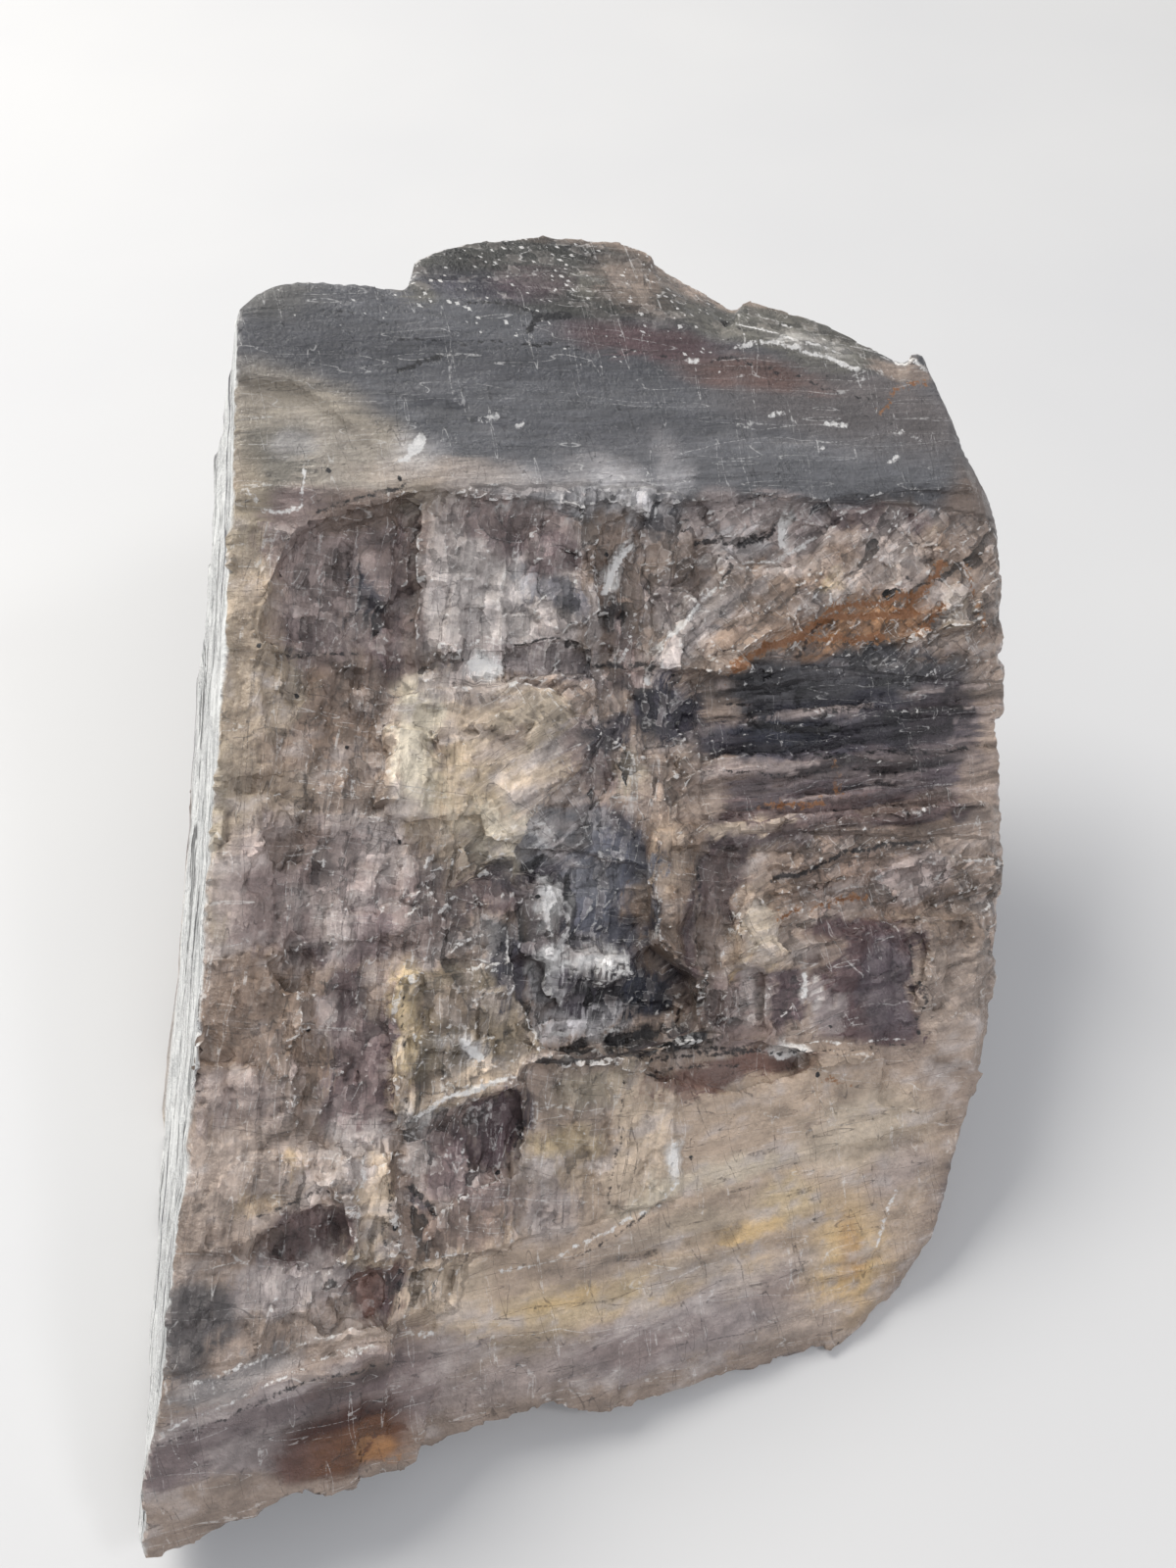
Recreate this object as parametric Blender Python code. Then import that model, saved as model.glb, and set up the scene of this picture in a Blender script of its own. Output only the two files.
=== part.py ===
"""Rough black moonstone: one natural cleavage fragment of dark feldspar, lying on a flat underside facet.

The stone is described in its own face frame, in millimetres: u runs to the right along the broad front
cleavage face, v runs up it and w comes out of it. The pose then tilts that frame so that the underside facet
is level on the ground.
"""

import math
import random

import bmesh
import bpy
from mathutils import Matrix, Vector

# Pose of the face frame: directions of u, v and w in the resting stone (x right, y away, z up).
FACE_TURN = math.radians(17.0)
FACE_LEAN = math.radians(9.0)
LOOK_DOWN = math.radians(50.0)

# Driving dimensions of the block, millimetres.
THICKNESS = 36.0
SPARE = 9.0
LEFT_FLARE = 2.7
BACK_TAPER = 0.93
REST_HEIGHT = -30.0

# Broken edges: spacing of the points along a ragged edge and how far they stray.
EDGE_STEP = 3.0
EDGE_STRAY = 0.32
SEED = 11

# Outline of the front face, clockwise from the top of the left edge.
LEFT_EDGE = [(-29.6, -49.6), (-28.4, -38.0), (-27.3, -20.0), (-26.6, 0.0), (-26.2, 20.0), (-26.4, 37.0)]
TOP_EDGE = [
    (-25.2, 39.2),
    (-22.5, 40.1),
    (-14.2, 40.8),
    (-13.4, 43.9),
    (-8.4, 46.8),
    (-2.6, 48.7),
    (3.6, 49.1),
    (10.2, 46.8),
    (16.5, 45.2),
    (23.5, 43.4),
    (27.5, 41.6),
    (29.8, 41.6),
]
RIGHT_EDGE = [
    (31.4, 38.4),
    (33.6, 34.2),
    (36.6, 31.4),
    (39.3, 27.6),
    (39.3, 20.0),
    (39.1, 6.0),
    (37.9, 0.5),
    (37.1, -6.6),
    (35.8, -11.2),
    (33.6, -17.4),
    (31.6, -24.6),
    (30.2, -30.4),
    (27.9, -34.6),
]
BOTTOM_EDGE = [
    (24.2, -37.8),
    (18.8, -40.2),
    (13.0, -40.4),
    (6.4, -42.4),
    (1.9, -42.6),
    (-1.0, -41.4),
    (-5.7, -43.2),
    (-9.3, -44.8),
    (-14.4, -46.0),
    (-19.5, -45.8),
    (-22.6, -47.6),
    (-26.6, -49.2),
]

# Flat facets that bound the back: name, a point on the facet, its outward direction.
BACK_FACETS = [
    ("back_cleavage", (0.0, 0.0, -34.5), (0.05, 0.04, -1.0)),
    ("back_upper_bevel", (0.0, 46.2, -8.0), (0.02, 0.66, -0.75)),
    ("back_upper_left_bevel", (-26.3, 38.2, -3.2), (-0.42, 0.72, -0.55)),
    ("back_lower_left_bevel", (-30.6, -50.4, -7.5), (-0.42, -0.62, -0.66)),
    ("back_right_bevel", (38.3, 5.0, -7.0), (0.86, 0.10, -0.50)),
    ("back_upper_right_bevel", (30.0, 39.0, -9.0), (0.62, 0.50, -0.60)),
    ("back_lower_bevel", (0.0, -42.8, -8.0), (0.22, -0.90, -0.36)),
    ("back_lower_right_bevel", (28.6, -35.4, -7.0), (0.60, -0.70, -0.38)),
]

# Broken facets along the front's rim: name, a point on the facet, outward direction, half width along the
# rim, height.
RIM_FACETS = [
    ("top_hump_slope", (-2.2, 40.6, 0.0), (-0.02, 0.34, 0.94), 13.6, 14.0),
    ("top_left_corner", (-25.0, 38.2, 0.0), (-0.45, 0.62, 0.64), 3.0, 7.0),
    ("top_shoulder_slope", (8.6, 43.2, -1.2), (0.30, 0.52, 0.80), 4.0, 9.0),
    ("pale_chip_inner", (15.0, 41.0, -0.2), (-0.02, 0.50, 0.86), 5.4, 9.0),
    ("pale_chip_outer", (22.6, 39.9, -0.2), (0.14, 0.46, 0.88), 5.0, 9.0),
    ("top_right_corner", (31.0, 38.6, -0.6), (0.66, 0.30, 0.69), 5.0, 7.0),
    ("right_upper_facet", (35.2, 29.6, -1.4), (0.62, 0.20, 0.76), 6.4, 8.0),
    ("right_middle_facet", (36.4, 17.5, -2.2), (0.72, -0.02, 0.69), 9.0, 8.0),
    ("right_lower_facet", (35.6, 1.0, -2.6), (0.70, -0.08, 0.71), 9.4, 8.0),
    ("beige_block_rim", (33.6, -11.4, -1.6), (0.70, -0.14, 0.70), 6.4, 8.0),
    ("dark_chamfer", (30.4, -26.6, -3.2), (0.84, -0.30, 0.45), 7.2, 9.0),
    ("lower_right_round", (24.6, -35.0, -4.6), (0.46, -0.56, 0.69), 6.4, 8.0),
    ("lower_lip_right", (12.0, -36.4, -4.0), (0.06, -0.50, 0.86), 8.4, 9.0),
    ("lower_lip_left", (-1.5, -38.4, -4.2), (-0.08, -0.56, 0.82), 8.0, 9.0),
    ("undercut_left", (-20.5, -37.2, -1.3), (-0.02, -0.42, 0.91), 14.5, 18.0),
    ("undercut_right", (-9.0, -37.6, -2.4), (0.04, -0.52, 0.85), 6.4, 12.0),
]

# Ledges of the front face: name, outline, depth at the middle of the outline, slope along u, slope along v.
LEDGES = [
    (
        "tan_corner",
        [(-27.5, 32), (-22, 32), (-15, 27), (-13.8, 24.8), (-17.5, 23.3), (-20, 22.3), (-22, 21),
         (-28, 21)],
        -0.5, 0.02, -0.02,
    ),
    (
        "upper_left_block",
        [(-21.6, 21), (-17.5, 23.2), (-14.3, 24.2), (-14.6, 10.2), (-19, 11), (-24, 13), (-23.5, 17)],
        -2.4, -0.04, 0.03,
    ),
    (
        "left_strip",
        [(-29, 21.4), (-22, 21), (-23.6, 17), (-24, 12), (-22.4, 5), (-21.4, 0), (-25, -4), (-29, -5)],
        -1.1, 0.06, 0.0,
    ),
    ("dark_groove", [(-14.6, 24.3), (-12.7, 24.9), (-12.5, 10.4), (-14.7, 10)], -3.3, 0.0, 0.02),
    (
        "pink_block",
        [(-12.8, 25), (-4, 25.1), (4, 25.4), (3.6, 14), (0, 14.6), (-5, 13.8), (-12.6, 12.8)],
        -1.5, 0.02, 0.05,
    ),
    ("upper_gap", [(1.4, 24.2), (5.2, 25.2), (5.3, 13.4), (1, 13)], -2.9, 0.0, 0.03),
    ("brown_block", [(5.1, 26), (10, 26.3), (12, 23.5), (9.4, 20), (6.4, 16.6), (5, 14)], -2.0, 0.03, 0.0),
    ("swirl", [(9.8, 26.5), (15.5, 27.6), (21, 27.7), (20, 24), (16, 21.4), (11.4, 22)], -1.3, -0.03, 0.08),
    (
        "swirl_lower",
        [(11, 24.2), (15.6, 25.1), (16.6, 26.6), (20.6, 25.6), (19, 22.8), (13, 21.8)],
        -2.2, -0.02, 0.06,
    ),
    (
        "right_upper_slope",
        [(20.6, 28), (29, 29.6), (40, 31), (40, 18), (30, 19.4), (24, 21), (18.6, 22)],
        -1.3, -0.07, 0.02,
    ),
    (
        "pale_wedge",
        [(5, 13.2), (8, 12.2), (15, 16.6), (24, 21), (19, 23.2), (11.5, 21.4), (6.2, 17)],
        -1.0, -0.02, 0.04,
    ),
    (
        "rust_slab",
        [(10.6, 13.4), (15, 16.4), (22, 20.4), (31, 22.2), (31, 18.4), (22, 15.4), (15, 13.9)],
        -1.9, 0.0, 0.05,
    ),
    (
        "striated_field",
        [(5, 13), (11, 12.8), (22, 15.3), (31, 18.2), (40, 19.2), (40, 4.2), (30, 3.4), (20, 2), (12, 1.5),
         (6, 0.6), (3, 5)],
        -2.7, -0.01, 0.02,
    ),
    (
        "striated_step_upper",
        [(6, 11.6), (20, 13.4), (40, 16.4), (40, 13.2), (20, 10.8), (6, 9.2)],
        -3.5, -0.01, 0.06,
    ),
    (
        "striated_step_middle",
        [(10, 8.6), (24, 9.8), (40, 12), (40, 9.4), (24, 7.4), (10, 6.4)],
        -3.3, -0.02, 0.08,
    ),
    (
        "striated_step_lower",
        [(7, 4.6), (22, 5.8), (40, 7.8), (40, 5.8), (22, 4), (7, 2.6)],
        -3.1, -0.01, 0.08,
    ),
    (
        "shelf_under_pink",
        [(-12.7, 12.9), (-5, 13.9), (0, 14.7), (1, 13.1), (5.2, 13.5), (5.4, 10), (0, 10.2), (-5, 11.4),
         (-12.7, 10.4)],
        -2.7, 0.0, -0.08,
    ),
    (
        "cream_block",
        [(-14.9, 9.8), (-12.5, 10.6), (-5, 11.6), (0, 10.4), (1.6, 7.6), (-1, 4), (-4, 1), (-7, -0.6),
         (-12, -1.1), (-15, 0)],
        -1.0, 0.01, -0.06,
    ),
    ("cream_blade_step", [(-12.6, 9), (-10.8, 9.4), (-10.5, 5.6), (-12.3, 4.6)], -1.9, 0.0, 0.02),
    (
        "charcoal_field",
        [(0, 10.3), (5, 13), (11, 12.8), (11.4, 9.4), (8.4, 6.4), (6, 0.6), (5, -2), (0, -1.2), (-4.4, -1),
         (-4, 1), (-1, 4), (1.6, 7.6)],
        -3.3, 0.0, 0.04,
    ),
    (
        "left_middle",
        [(-22.4, 5), (-24, 12), (-19, 11), (-14.6, 10.1), (-15, 0), (-12, -1.2), (-14, -9), (-20, -8),
         (-25, -4), (-21.4, 0)],
        -1.9, -0.02, 0.02,
    ),
    (
        "lilac_middle",
        [(-14.9, 0), (-12, -1.1), (-7, -0.6), (-4.4, -1), (-5.2, -7.2), (-5.6, -9.6), (-11, -10.4),
         (-14.2, -9.6)],
        -2.3, -0.03, 0.04,
    ),
    (
        "hollow",
        [(-4.6, -1), (0, -1), (5.2, -2), (5.7, -8), (8.7, -11), (9.8, -14), (6, -15.4), (0, -16.4),
         (-3.2, -15.4), (-5.3, -11), (-5.5, -7)],
        -5.4, 0.02, 0.09,
    ),
    ("tan_blades", [(5.4, -1.2), (9.6, -1.8), (9.2, -9.4), (7.2, -9.8), (5.6, -6)], -1.5, 0.05, 0.0),
    (
        "brown_pocket",
        [(9.5, -1), (13.8, -1.4), (13.3, -4.6), (12.2, -6), (12.4, -10), (14.6, -11), (14.4, -15),
         (10, -14.4), (9, -10)],
        -3.0, -0.03, 0.02,
    ),
    (
        "tan_block",
        [(12.3, -5.2), (13.8, -4.2), (16.4, -5.6), (16.2, -8.6), (14.8, -10.3), (12.2, -10)],
        -1.2, 0.0, -0.04,
    ),
    (
        "right_centre_upper",
        [(6, 0.7), (12, 1.5), (20, 2), (30, 3.4), (40, 4.2), (40, -0.8), (30, -1.2), (25, -2), (18, -3.6),
         (13.6, -4), (6, -1.4)],
        -2.1, -0.01, 0.05,
    ),
    (
        "right_centre_lower",
        [(13.6, -4), (18, -3.6), (25, -2), (30, -1.2), (40, -0.8), (40, -5), (27.2, -5.4), (21, -7),
         (16, -8.6), (16.2, -5.6)],
        -2.8, -0.02, 0.06,
    ),
    (
        "grid_block",
        [(14.6, -9.6), (16, -8.6), (21, -7), (27, -5.6), (27.3, -15.6), (20, -15.8), (16, -15.6),
         (14.5, -12.4)],
        -1.7, 0.02, 0.03,
    ),
    ("beige_right_block", [(27, -5.5), (40, -5), (40, -17), (32, -17.2), (27.4, -16.4)], -1.0, -0.06, 0.02),
    (
        "red_slab",
        [(4.6, -16.2), (9.6, -15), (14.6, -15.4), (18.4, -16.2), (18, -17.4), (12, -19), (8, -18.2),
         (5, -17.6)],
        -3.1, 0.02, 0.06,
    ),
    (
        "fibrous_slope",
        [(-4.8, -17), (5, -17.4), (12, -18.8), (18, -17.3), (27.4, -16.3), (33, -17.2), (36, -44),
         (-13, -48), (-13.5, -30), (-4.6, -30)],
        -2.7, -0.01, 0.17,
    ),
    (
        "fibrous_left_block",
        [(-4.8, -16.8), (3.4, -17.2), (4, -20), (2.6, -28), (-4.5, -30)],
        -1.9, 0.02, 0.05,
    ),
    (
        "olive_block",
        [(-14.2, -11), (-11, -10.5), (-5.4, -9.7), (-4.2, -15), (-4.6, -18.2), (-9, -19.4), (-13.2, -21.4),
         (-13.7, -17)],
        -0.8, 0.03, 0.02,
    ),
    ("dark_pocket_right", [(-8.8, -19.4), (-4.6, -18.2), (-4.5, -24.4), (-7.4, -25)], -3.4, 0.0, 0.04),
    (
        "dark_pocket_left",
        [(-13.2, -21.4), (-8.8, -19.5), (-7.4, -25.2), (-10.4, -27), (-13.3, -26)],
        -2.7, 0.03, 0.04,
    ),
    (
        "lower_centre_strip",
        [(-13.4, -26), (-10.4, -27), (-7.4, -25), (-4.5, -24.3), (-4.5, -30.2), (-13.4, -30.4)],
        -2.0, 0.0, 0.05,
    ),
    (
        "left_lower",
        [(-30, -4.8), (-25, -4), (-20, -8), (-20.2, -24), (-17, -25.8), (-25.4, -28.6), (-30, -29)],
        -1.5, 0.03, 0.01,
    ),
    (
        "left_lower_step",
        [(-20.2, -8), (-14, -9.2), (-13.8, -17), (-13.4, -22), (-16, -22.8), (-20.3, -21)],
        -2.7, 0.02, 0.03,
    ),
    ("left_step_notch", [(-22.6, -9.2), (-19.4, -8.4), (-19.6, -11.4), (-21, -11.8)], -3.4, 0.0, 0.0),
    ("dark_wedge", [(-25.2, -28.6), (-17, -25.7), (-16.5, -29.2), (-20, -29.6)], -3.0, -0.05, 0.06),
    ("cream_blade", [(-16.6, -22.8), (-13.4, -22), (-13.3, -30.4), (-16, -30.6)], -0.9, 0.04, 0.0),
    ("brown_notch", [(-16.6, -30.7), (-13, -30.5), (-12.9, -34.2), (-15.8, -34.3)], -3.6, 0.05, 0.04),
    (
        "lower_left_field",
        [(-30, -28.8), (-25.2, -28.7), (-20, -29.7), (-16.6, -30.5), (-15.9, -34.4), (-12.8, -34.9),
         (-16, -35.7), (-21, -37.2), (-30, -39.5)],
        -1.6, 0.01, 0.03,
    ),
    (
        "cream_lower_patch",
        [(-13, -30.5), (-4.5, -30.3), (-4.6, -34), (-9.4, -35.8), (-12.8, -34.8)],
        -1.6, 0.0, 0.06,
    ),
]

# Blades and blocks that stand up in the hollow: name, outline, height of the top at its middle, slopes.
STANDING_BLADES = [
    (
        "hollow_blade_left",
        [(-5.2, -7.4), (-3.6, -3.6), (-1.6, -3.2), (-1.9, -9.6), (-3.9, -9.2)],
        -3.1, 0.04, -0.03,
    ),
    (
        "hollow_blade_right",
        [(-2.1, -3.9), (-0.8, -3.4), (-0.4, -8), (0.6, -10.4), (-0.8, -13), (-2.4, -11)],
        -3.9, 0.03, 0.06,
    ),
    ("hollow_crumbs", [(0.2, -8.4), (4.6, -8.2), (5.2, -10.2), (2.4, -11), (0.4, -10.2)], -4.5, 0.03, 0.10),
]

# Cracks: name, points along the line, how wide it gapes, how deep it goes and how far it leans up under the
# rock above.
CRACKS = [
    (
        "deep_crack",
        [(-4.2, -16.8), (0.5, -16.2), (6.0, -15.3), (9.6, -14.9), (15.0, -15.9), (20.0, -16.1),
         (27.0, -15.9)],
        1.3, 7.5, 3.2,
    ),
    ("slate_crack_upper", [(-21.0, 38.7), (-16.0, 38.1), (-9.0, 37.9), (-3.0, 38.4)], 0.40, 1.2, 0.1),
    ("slate_crack_lower", [(-14.6, 35.9), (-11.0, 36.5), (-5.0, 36.9), (4.0, 37.6)], 0.34, 1.0, 0.1),
    ("slate_crack_right", [(9.0, 39.2), (13.0, 38.7), (17.0, 38.9), (21.0, 38.6)], 0.36, 1.2, 0.1),
    ("red_crack", [(24.0, 34.3), (25.8, 36.4), (27.4, 37.9), (29.8, 38.7)], 0.40, 1.4, 0.1),
    ("rust_crack", [(12.4, 15.4), (15.8, 17.9), (20.0, 19.2), (24.6, 19.6), (30.6, 20.4)], 0.50, 3.2, 0.5),
    ("swirl_crack", [(11.6, 23.9), (14.6, 24.3), (16.8, 25.6), (20.6, 26.6)], 0.45, 3.0, 0.4),
    ("striated_crack", [(15.0, 8.3), (20.0, 8.0), (26.0, 8.9), (35.0, 10.6)], 0.45, 4.6, 0.4),
    ("brown_crack", [(14.0, -3.4), (18.6, -2.6), (24.0, -0.9), (29.5, 0.4)], 0.45, 3.6, 0.4),
]
CRACK_TOP = 3.0

# Cleavage sheets missing from the left face: name, how far back from the front they start, how thick.
SHEET_STEPS = [
    ("sheet_front", -6.0, 0.28),
    ("sheet_middle", -13.0, 0.62),
    ("sheet_back", -21.0, 1.05),
]

# Runs of small cleavage steps: name, u range, v range, how many runs, steps in a run, width, length, depth.
STEP_FIELDS = [
    ("slate_nick", (-20, 26), (30, 38), 4, 1, (0.8, 1.2), (2.6, 4.6), (0.3, 0.5)),
    ("upper_left_step", (-22, -3), (12, 23), 8, 2, (1.6, 3.2), (2.8, 6.0), (0.5, 1.0)),
    ("upper_right_step", (3, 33), (15, 23), 9, 2, (1.6, 3.0), (2.8, 6.4), (0.5, 1.0)),
    ("striation", (9, 34), (3, 15), 8, 2, (0.7, 1.2), (6.0, 13.0), (0.4, 0.8)),
    ("middle_left_step", (-24, -7), (-9, 9), 9, 2, (1.6, 3.4), (2.8, 6.6), (0.5, 1.0)),
    ("middle_right_step", (9, 33), (-14, 1), 9, 2, (1.6, 3.2), (2.8, 6.6), (0.5, 1.0)),
    ("lower_left_step", (-26, -6), (-35, -10), 14, 2, (1.6, 3.4), (2.8, 6.6), (0.5, 1.1)),
    ("lower_right_step", (-2, 26), (-36, -20), 5, 2, (1.2, 2.2), (6.0, 11.0), (0.25, 0.5)),
]

# Ledges of the back, which can't be seen from the front: name, middle of the piece that came away, direction
# it faced, half width across, half height, direction of the ledge's edge, thickness.
BACK_STEPS = [
    ("back_step_high", (0.0, 19.5, -30.2), (0.02, 0.66, -0.75), 60.0, 15.0, (1.0, 0.16, 0.0), 1.7),
    ("back_step_right", (33.0, 30.0, -21.0), (0.02, 0.66, -0.75), 20.0, 40.0, (1.0, -0.10, 0.0), 1.3),
    ("back_step_left", (-33.0, 0.0, -34.5), (0.05, 0.04, -1.0), 15.0, 60.0, (1.0, 0.12, 0.0), 1.9),
    ("back_step_side", (31.0, 2.0, -19.0), (0.86, 0.10, -0.50), 14.0, 30.0, (0.1, 1.0, 0.3), 1.5),
    ("back_step_corner", (-29.0, 34.0, -6.6), (-0.42, 0.72, -0.55), 15.0, 6.0, (1.0, 0.2, 0.1), 1.0),
]

# Shell-shaped scars where flakes broke off the back and the rim: name, centre of the scoop, its radius.
SCARS = [
    ("scar_back_rim", (14.0, 56.5, -21.0), 13.5),
    ("scar_back_left", (-20.0, 33.5, -37.0), 15.0),
    ("scar_back_right", (38.5, 24.0, -34.0), 16.0),
    ("scar_side", (46.5, -8.0, -15.5), 11.0),
    ("scar_underside", (-24.0, -47.0, -34.0), 15.0),
    ("scar_back_middle", (8.0, 6.0, -52.5), 19.0),
]

ROCK_COLOUR = (0.155, 0.135, 0.128, 1.0)


def face_axes():
    """Directions of u, v and w in the resting stone."""
    turn_back = math.sin(FACE_TURN)
    right = Vector((math.cos(FACE_TURN), -turn_back * math.sin(FACE_LEAN), -turn_back * math.cos(FACE_LEAN)))
    up = Vector((0.0, math.cos(FACE_LEAN), -math.sin(FACE_LEAN)))
    tilt = Matrix.Rotation(math.pi / 2 - LOOK_DOWN, 3, "X")
    right = tilt @ right
    up = tilt @ up
    return right, up, right.cross(up)


RIGHT, UP, OUT = face_axes()
POSE = Matrix((RIGHT, UP, OUT)).transposed() * 0.001


def placed(u, v, w):
    """A point of the face frame, in metres in the resting stone."""
    return POSE @ Vector((u, v, w))


def clear_scene():
    for old in list(bpy.data.objects):
        bpy.data.objects.remove(old, do_unlink=True)


def new_collection(name, hidden):
    group = bpy.data.collections.new(name)
    bpy.context.scene.collection.children.link(group)
    group.hide_render = hidden
    return group


def finish_object(name, bm, group, wire=False):
    bmesh.ops.recalc_face_normals(bm, faces=bm.faces)
    mesh = bpy.data.meshes.new(name)
    bm.to_mesh(mesh)
    bm.free()
    obj = bpy.data.objects.new(name, mesh)
    group.objects.link(obj)
    if wire:
        obj.hide_render = True
        obj.display_type = "WIRE"
    return obj


def ragged(points, rng, closed=True, step=EDGE_STEP, stray=EDGE_STRAY):
    """The outline with more points along its long sides, each a little off the line, as a broken edge is."""
    out = []
    count = len(points) if closed else len(points) - 1
    for i in range(count):
        start = Vector(points[i])
        end = Vector(points[(i + 1) % len(points)])
        along = end - start
        side = Vector((-along.y, along.x)).normalized()
        pieces = max(1, round(along.length / step))
        for k in range(pieces):
            shift = 0.0 if k == 0 else rng.uniform(-stray, stray)
            out.append(start + along * (k / pieces) + side * shift)
    return out


def loft(name, low, high, group, wire=True):
    """A closed solid between two loops of face-frame points with the same number of points."""
    bm = bmesh.new()
    bottom = [bm.verts.new(placed(*p)) for p in low]
    top = [bm.verts.new(placed(*p)) for p in high]
    count = len(low)
    bm.faces.new(bottom)
    bm.faces.new(list(reversed(top)))
    for i in range(count):
        j = (i + 1) % count
        bm.faces.new((bottom[j], bottom[i], top[i], top[j]))
    return finish_object(name, bm, group, wire)


def facet_box(name, at, facing, half_width, height, group, depth=12.0, along=None):
    """A box cutter whose inner side is the plane through a point, facing the way the facet faces."""
    normal = Vector(facing).normalized()
    across = Vector(along).normalized() if along else Vector((-normal.y, normal.x, 0.0))
    if across.length < 1e-6:
        across = Vector((1.0, 0.0, 0.0))
    across = (across - normal * across.dot(normal)).normalized()
    up = normal.cross(across)
    centre = Vector(at)
    corners = ((-1, -1), (1, -1), (1, 1), (-1, 1))
    low = [centre + across * (half_width * a) + up * (height * b) for a, b in corners]
    high = [p + normal * depth for p in low]
    return loft(name, low, high, group)


def centre_of(outline):
    return sum((Vector(p) for p in outline), Vector((0.0, 0.0))) / len(outline)


def plane_height(outline, height, slope_u, slope_v, point):
    middle = centre_of(outline)
    return height + slope_u * (point[0] - middle.x) + slope_v * (point[1] - middle.y)


def inside(outline, u, v):
    """Whether a point lies in a polygon, by counting the sides to its right."""
    odd = False
    for i, (u0, v0) in enumerate(outline):
        u1, v1 = outline[(i + 1) % len(outline)]
        if (v0 > v) != (v1 > v) and u < u0 + (v - v0) * (u1 - u0) / (v1 - v0):
            odd = not odd
    return odd


def floor_at(u, v):
    """Depth of the front face at a point, from the ledges that cover it."""
    depth = 0.0
    for _, outline, height, slope_u, slope_v in LEDGES:
        if inside(outline, u, v):
            depth = min(depth, plane_height(outline, height, slope_u, slope_v, (u, v)))
    return depth


def make_block(group, rng):
    """The rough block: the front outline carried back, flaring at the left face and tapering elsewhere."""
    left = [Vector(p) for p in LEFT_EDGE]
    rest = ragged(TOP_EDGE + RIGHT_EDGE + BOTTOM_EDGE, rng, closed=False) + [Vector(BOTTOM_EDGE[-1])]
    front = [(p.x, p.y, 0.0) for p in left + rest]
    back = [(p.x - LEFT_FLARE, p.y, -THICKNESS - SPARE) for p in left]
    back += [(p.x * BACK_TAPER, p.y * BACK_TAPER, -THICKNESS - SPARE) for p in rest]
    return loft("moonstone", back, front, group, wire=False)


def slice_facets(stone):
    """Cuts the flat facets of the back, and the level facet that the stone rests on."""
    bm = bmesh.new()
    bm.from_mesh(stone.data)
    planes = [(placed(*at), (POSE @ Vector(facing)).normalized()) for _, at, facing in BACK_FACETS]
    planes.append((Vector((0.0, 0.0, REST_HEIGHT * 0.001)), Vector((0.0, 0.0, -1.0))))
    for at, normal in planes:
        geom = bm.verts[:] + bm.edges[:] + bm.faces[:]
        cut = bmesh.ops.bisect_plane(bm, geom=geom, dist=1e-7, plane_co=at, plane_no=normal, clear_outer=True)
        rim = [e for e in cut["geom_cut"] if isinstance(e, bmesh.types.BMEdge)]
        bmesh.ops.holes_fill(bm, edges=rim, sides=0)
    bmesh.ops.recalc_face_normals(bm, faces=bm.faces)
    bm.to_mesh(stone.data)
    bm.free()


def make_ledge(entry, group, rng, top=14.0):
    name, outline, height, slope_u, slope_v = entry
    loop = ragged(outline, rng)
    low = [(p.x, p.y, plane_height(outline, height, slope_u, slope_v, p)) for p in loop]
    middle = centre_of(outline)
    high = [(p.x + (p.x - middle.x) * 0.05, p.y + (p.y - middle.y) * 0.05, top) for p in loop]
    return loft(name, low, high, group)


def make_blade(entry, group, rng):
    name, outline, height, slope_u, slope_v = entry
    loop = ragged(outline, rng, step=2.0, stray=0.2)
    high = [(p.x, p.y, plane_height(outline, height, slope_u, slope_v, p)) for p in loop]
    low = [(p.x, p.y, -12.0) for p in loop]
    return loft(name, low, high, group)


def make_crack(entry, group, rng):
    """A narrow wedge slot, closing towards its two ends."""
    name, line, gape, depth, lean = entry
    upper = ragged(line, rng, closed=False, step=2.4, stray=0.25) + [Vector(line[-1])]
    count = len(upper) - 1
    widths = [gape * (0.3 + 0.7 * math.sin(math.pi * (i + 0.6) / (count + 1.2))) for i in range(count + 1)]
    lower = [Vector((p.x, p.y - width)) for p, width in zip(upper, widths)]
    inner_drop = [0.15 * gape for _ in upper]
    mouth = [(p.x, p.y, CRACK_TOP) for p in upper] + [(p.x, p.y, CRACK_TOP) for p in reversed(lower)]
    inner = [(p.x, p.y + lean, -depth) for p in upper]
    inner += [(p.x, p.y + lean - drop, -depth) for p, drop in zip(reversed(upper), inner_drop)]
    return loft(name, inner, mouth, group)


def make_sheet_steps(group, rng):
    """Long shallow steps in the left face, along its front edge, where thin sheets have come away."""
    slope = LEFT_FLARE / (THICKNESS + SPARE)
    foot = LEFT_EDGE[0]
    head = LEFT_EDGE[-1]
    ends = [(foot[0], foot[1] - 8.0), *LEFT_EDGE[1:-1], (head[0], head[1] + 8.0)]
    for name, start, thick in SHEET_STEPS:
        starts = [start + rng.uniform(-0.7, 0.7) for _ in ends]
        low = [(u + slope * w + thick, v, w) for (u, v), w in zip(ends, starts)]
        low += [(u - slope * 46.0 + thick, v, -46.0) for u, v in reversed(ends)]
        high = [(u - 8.0, v, w) for (u, v), w in zip(ends, starts)]
        high += [(u - 8.0, v, -46.0) for u, v in reversed(ends)]
        loft(name, low, high, group)


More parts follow.
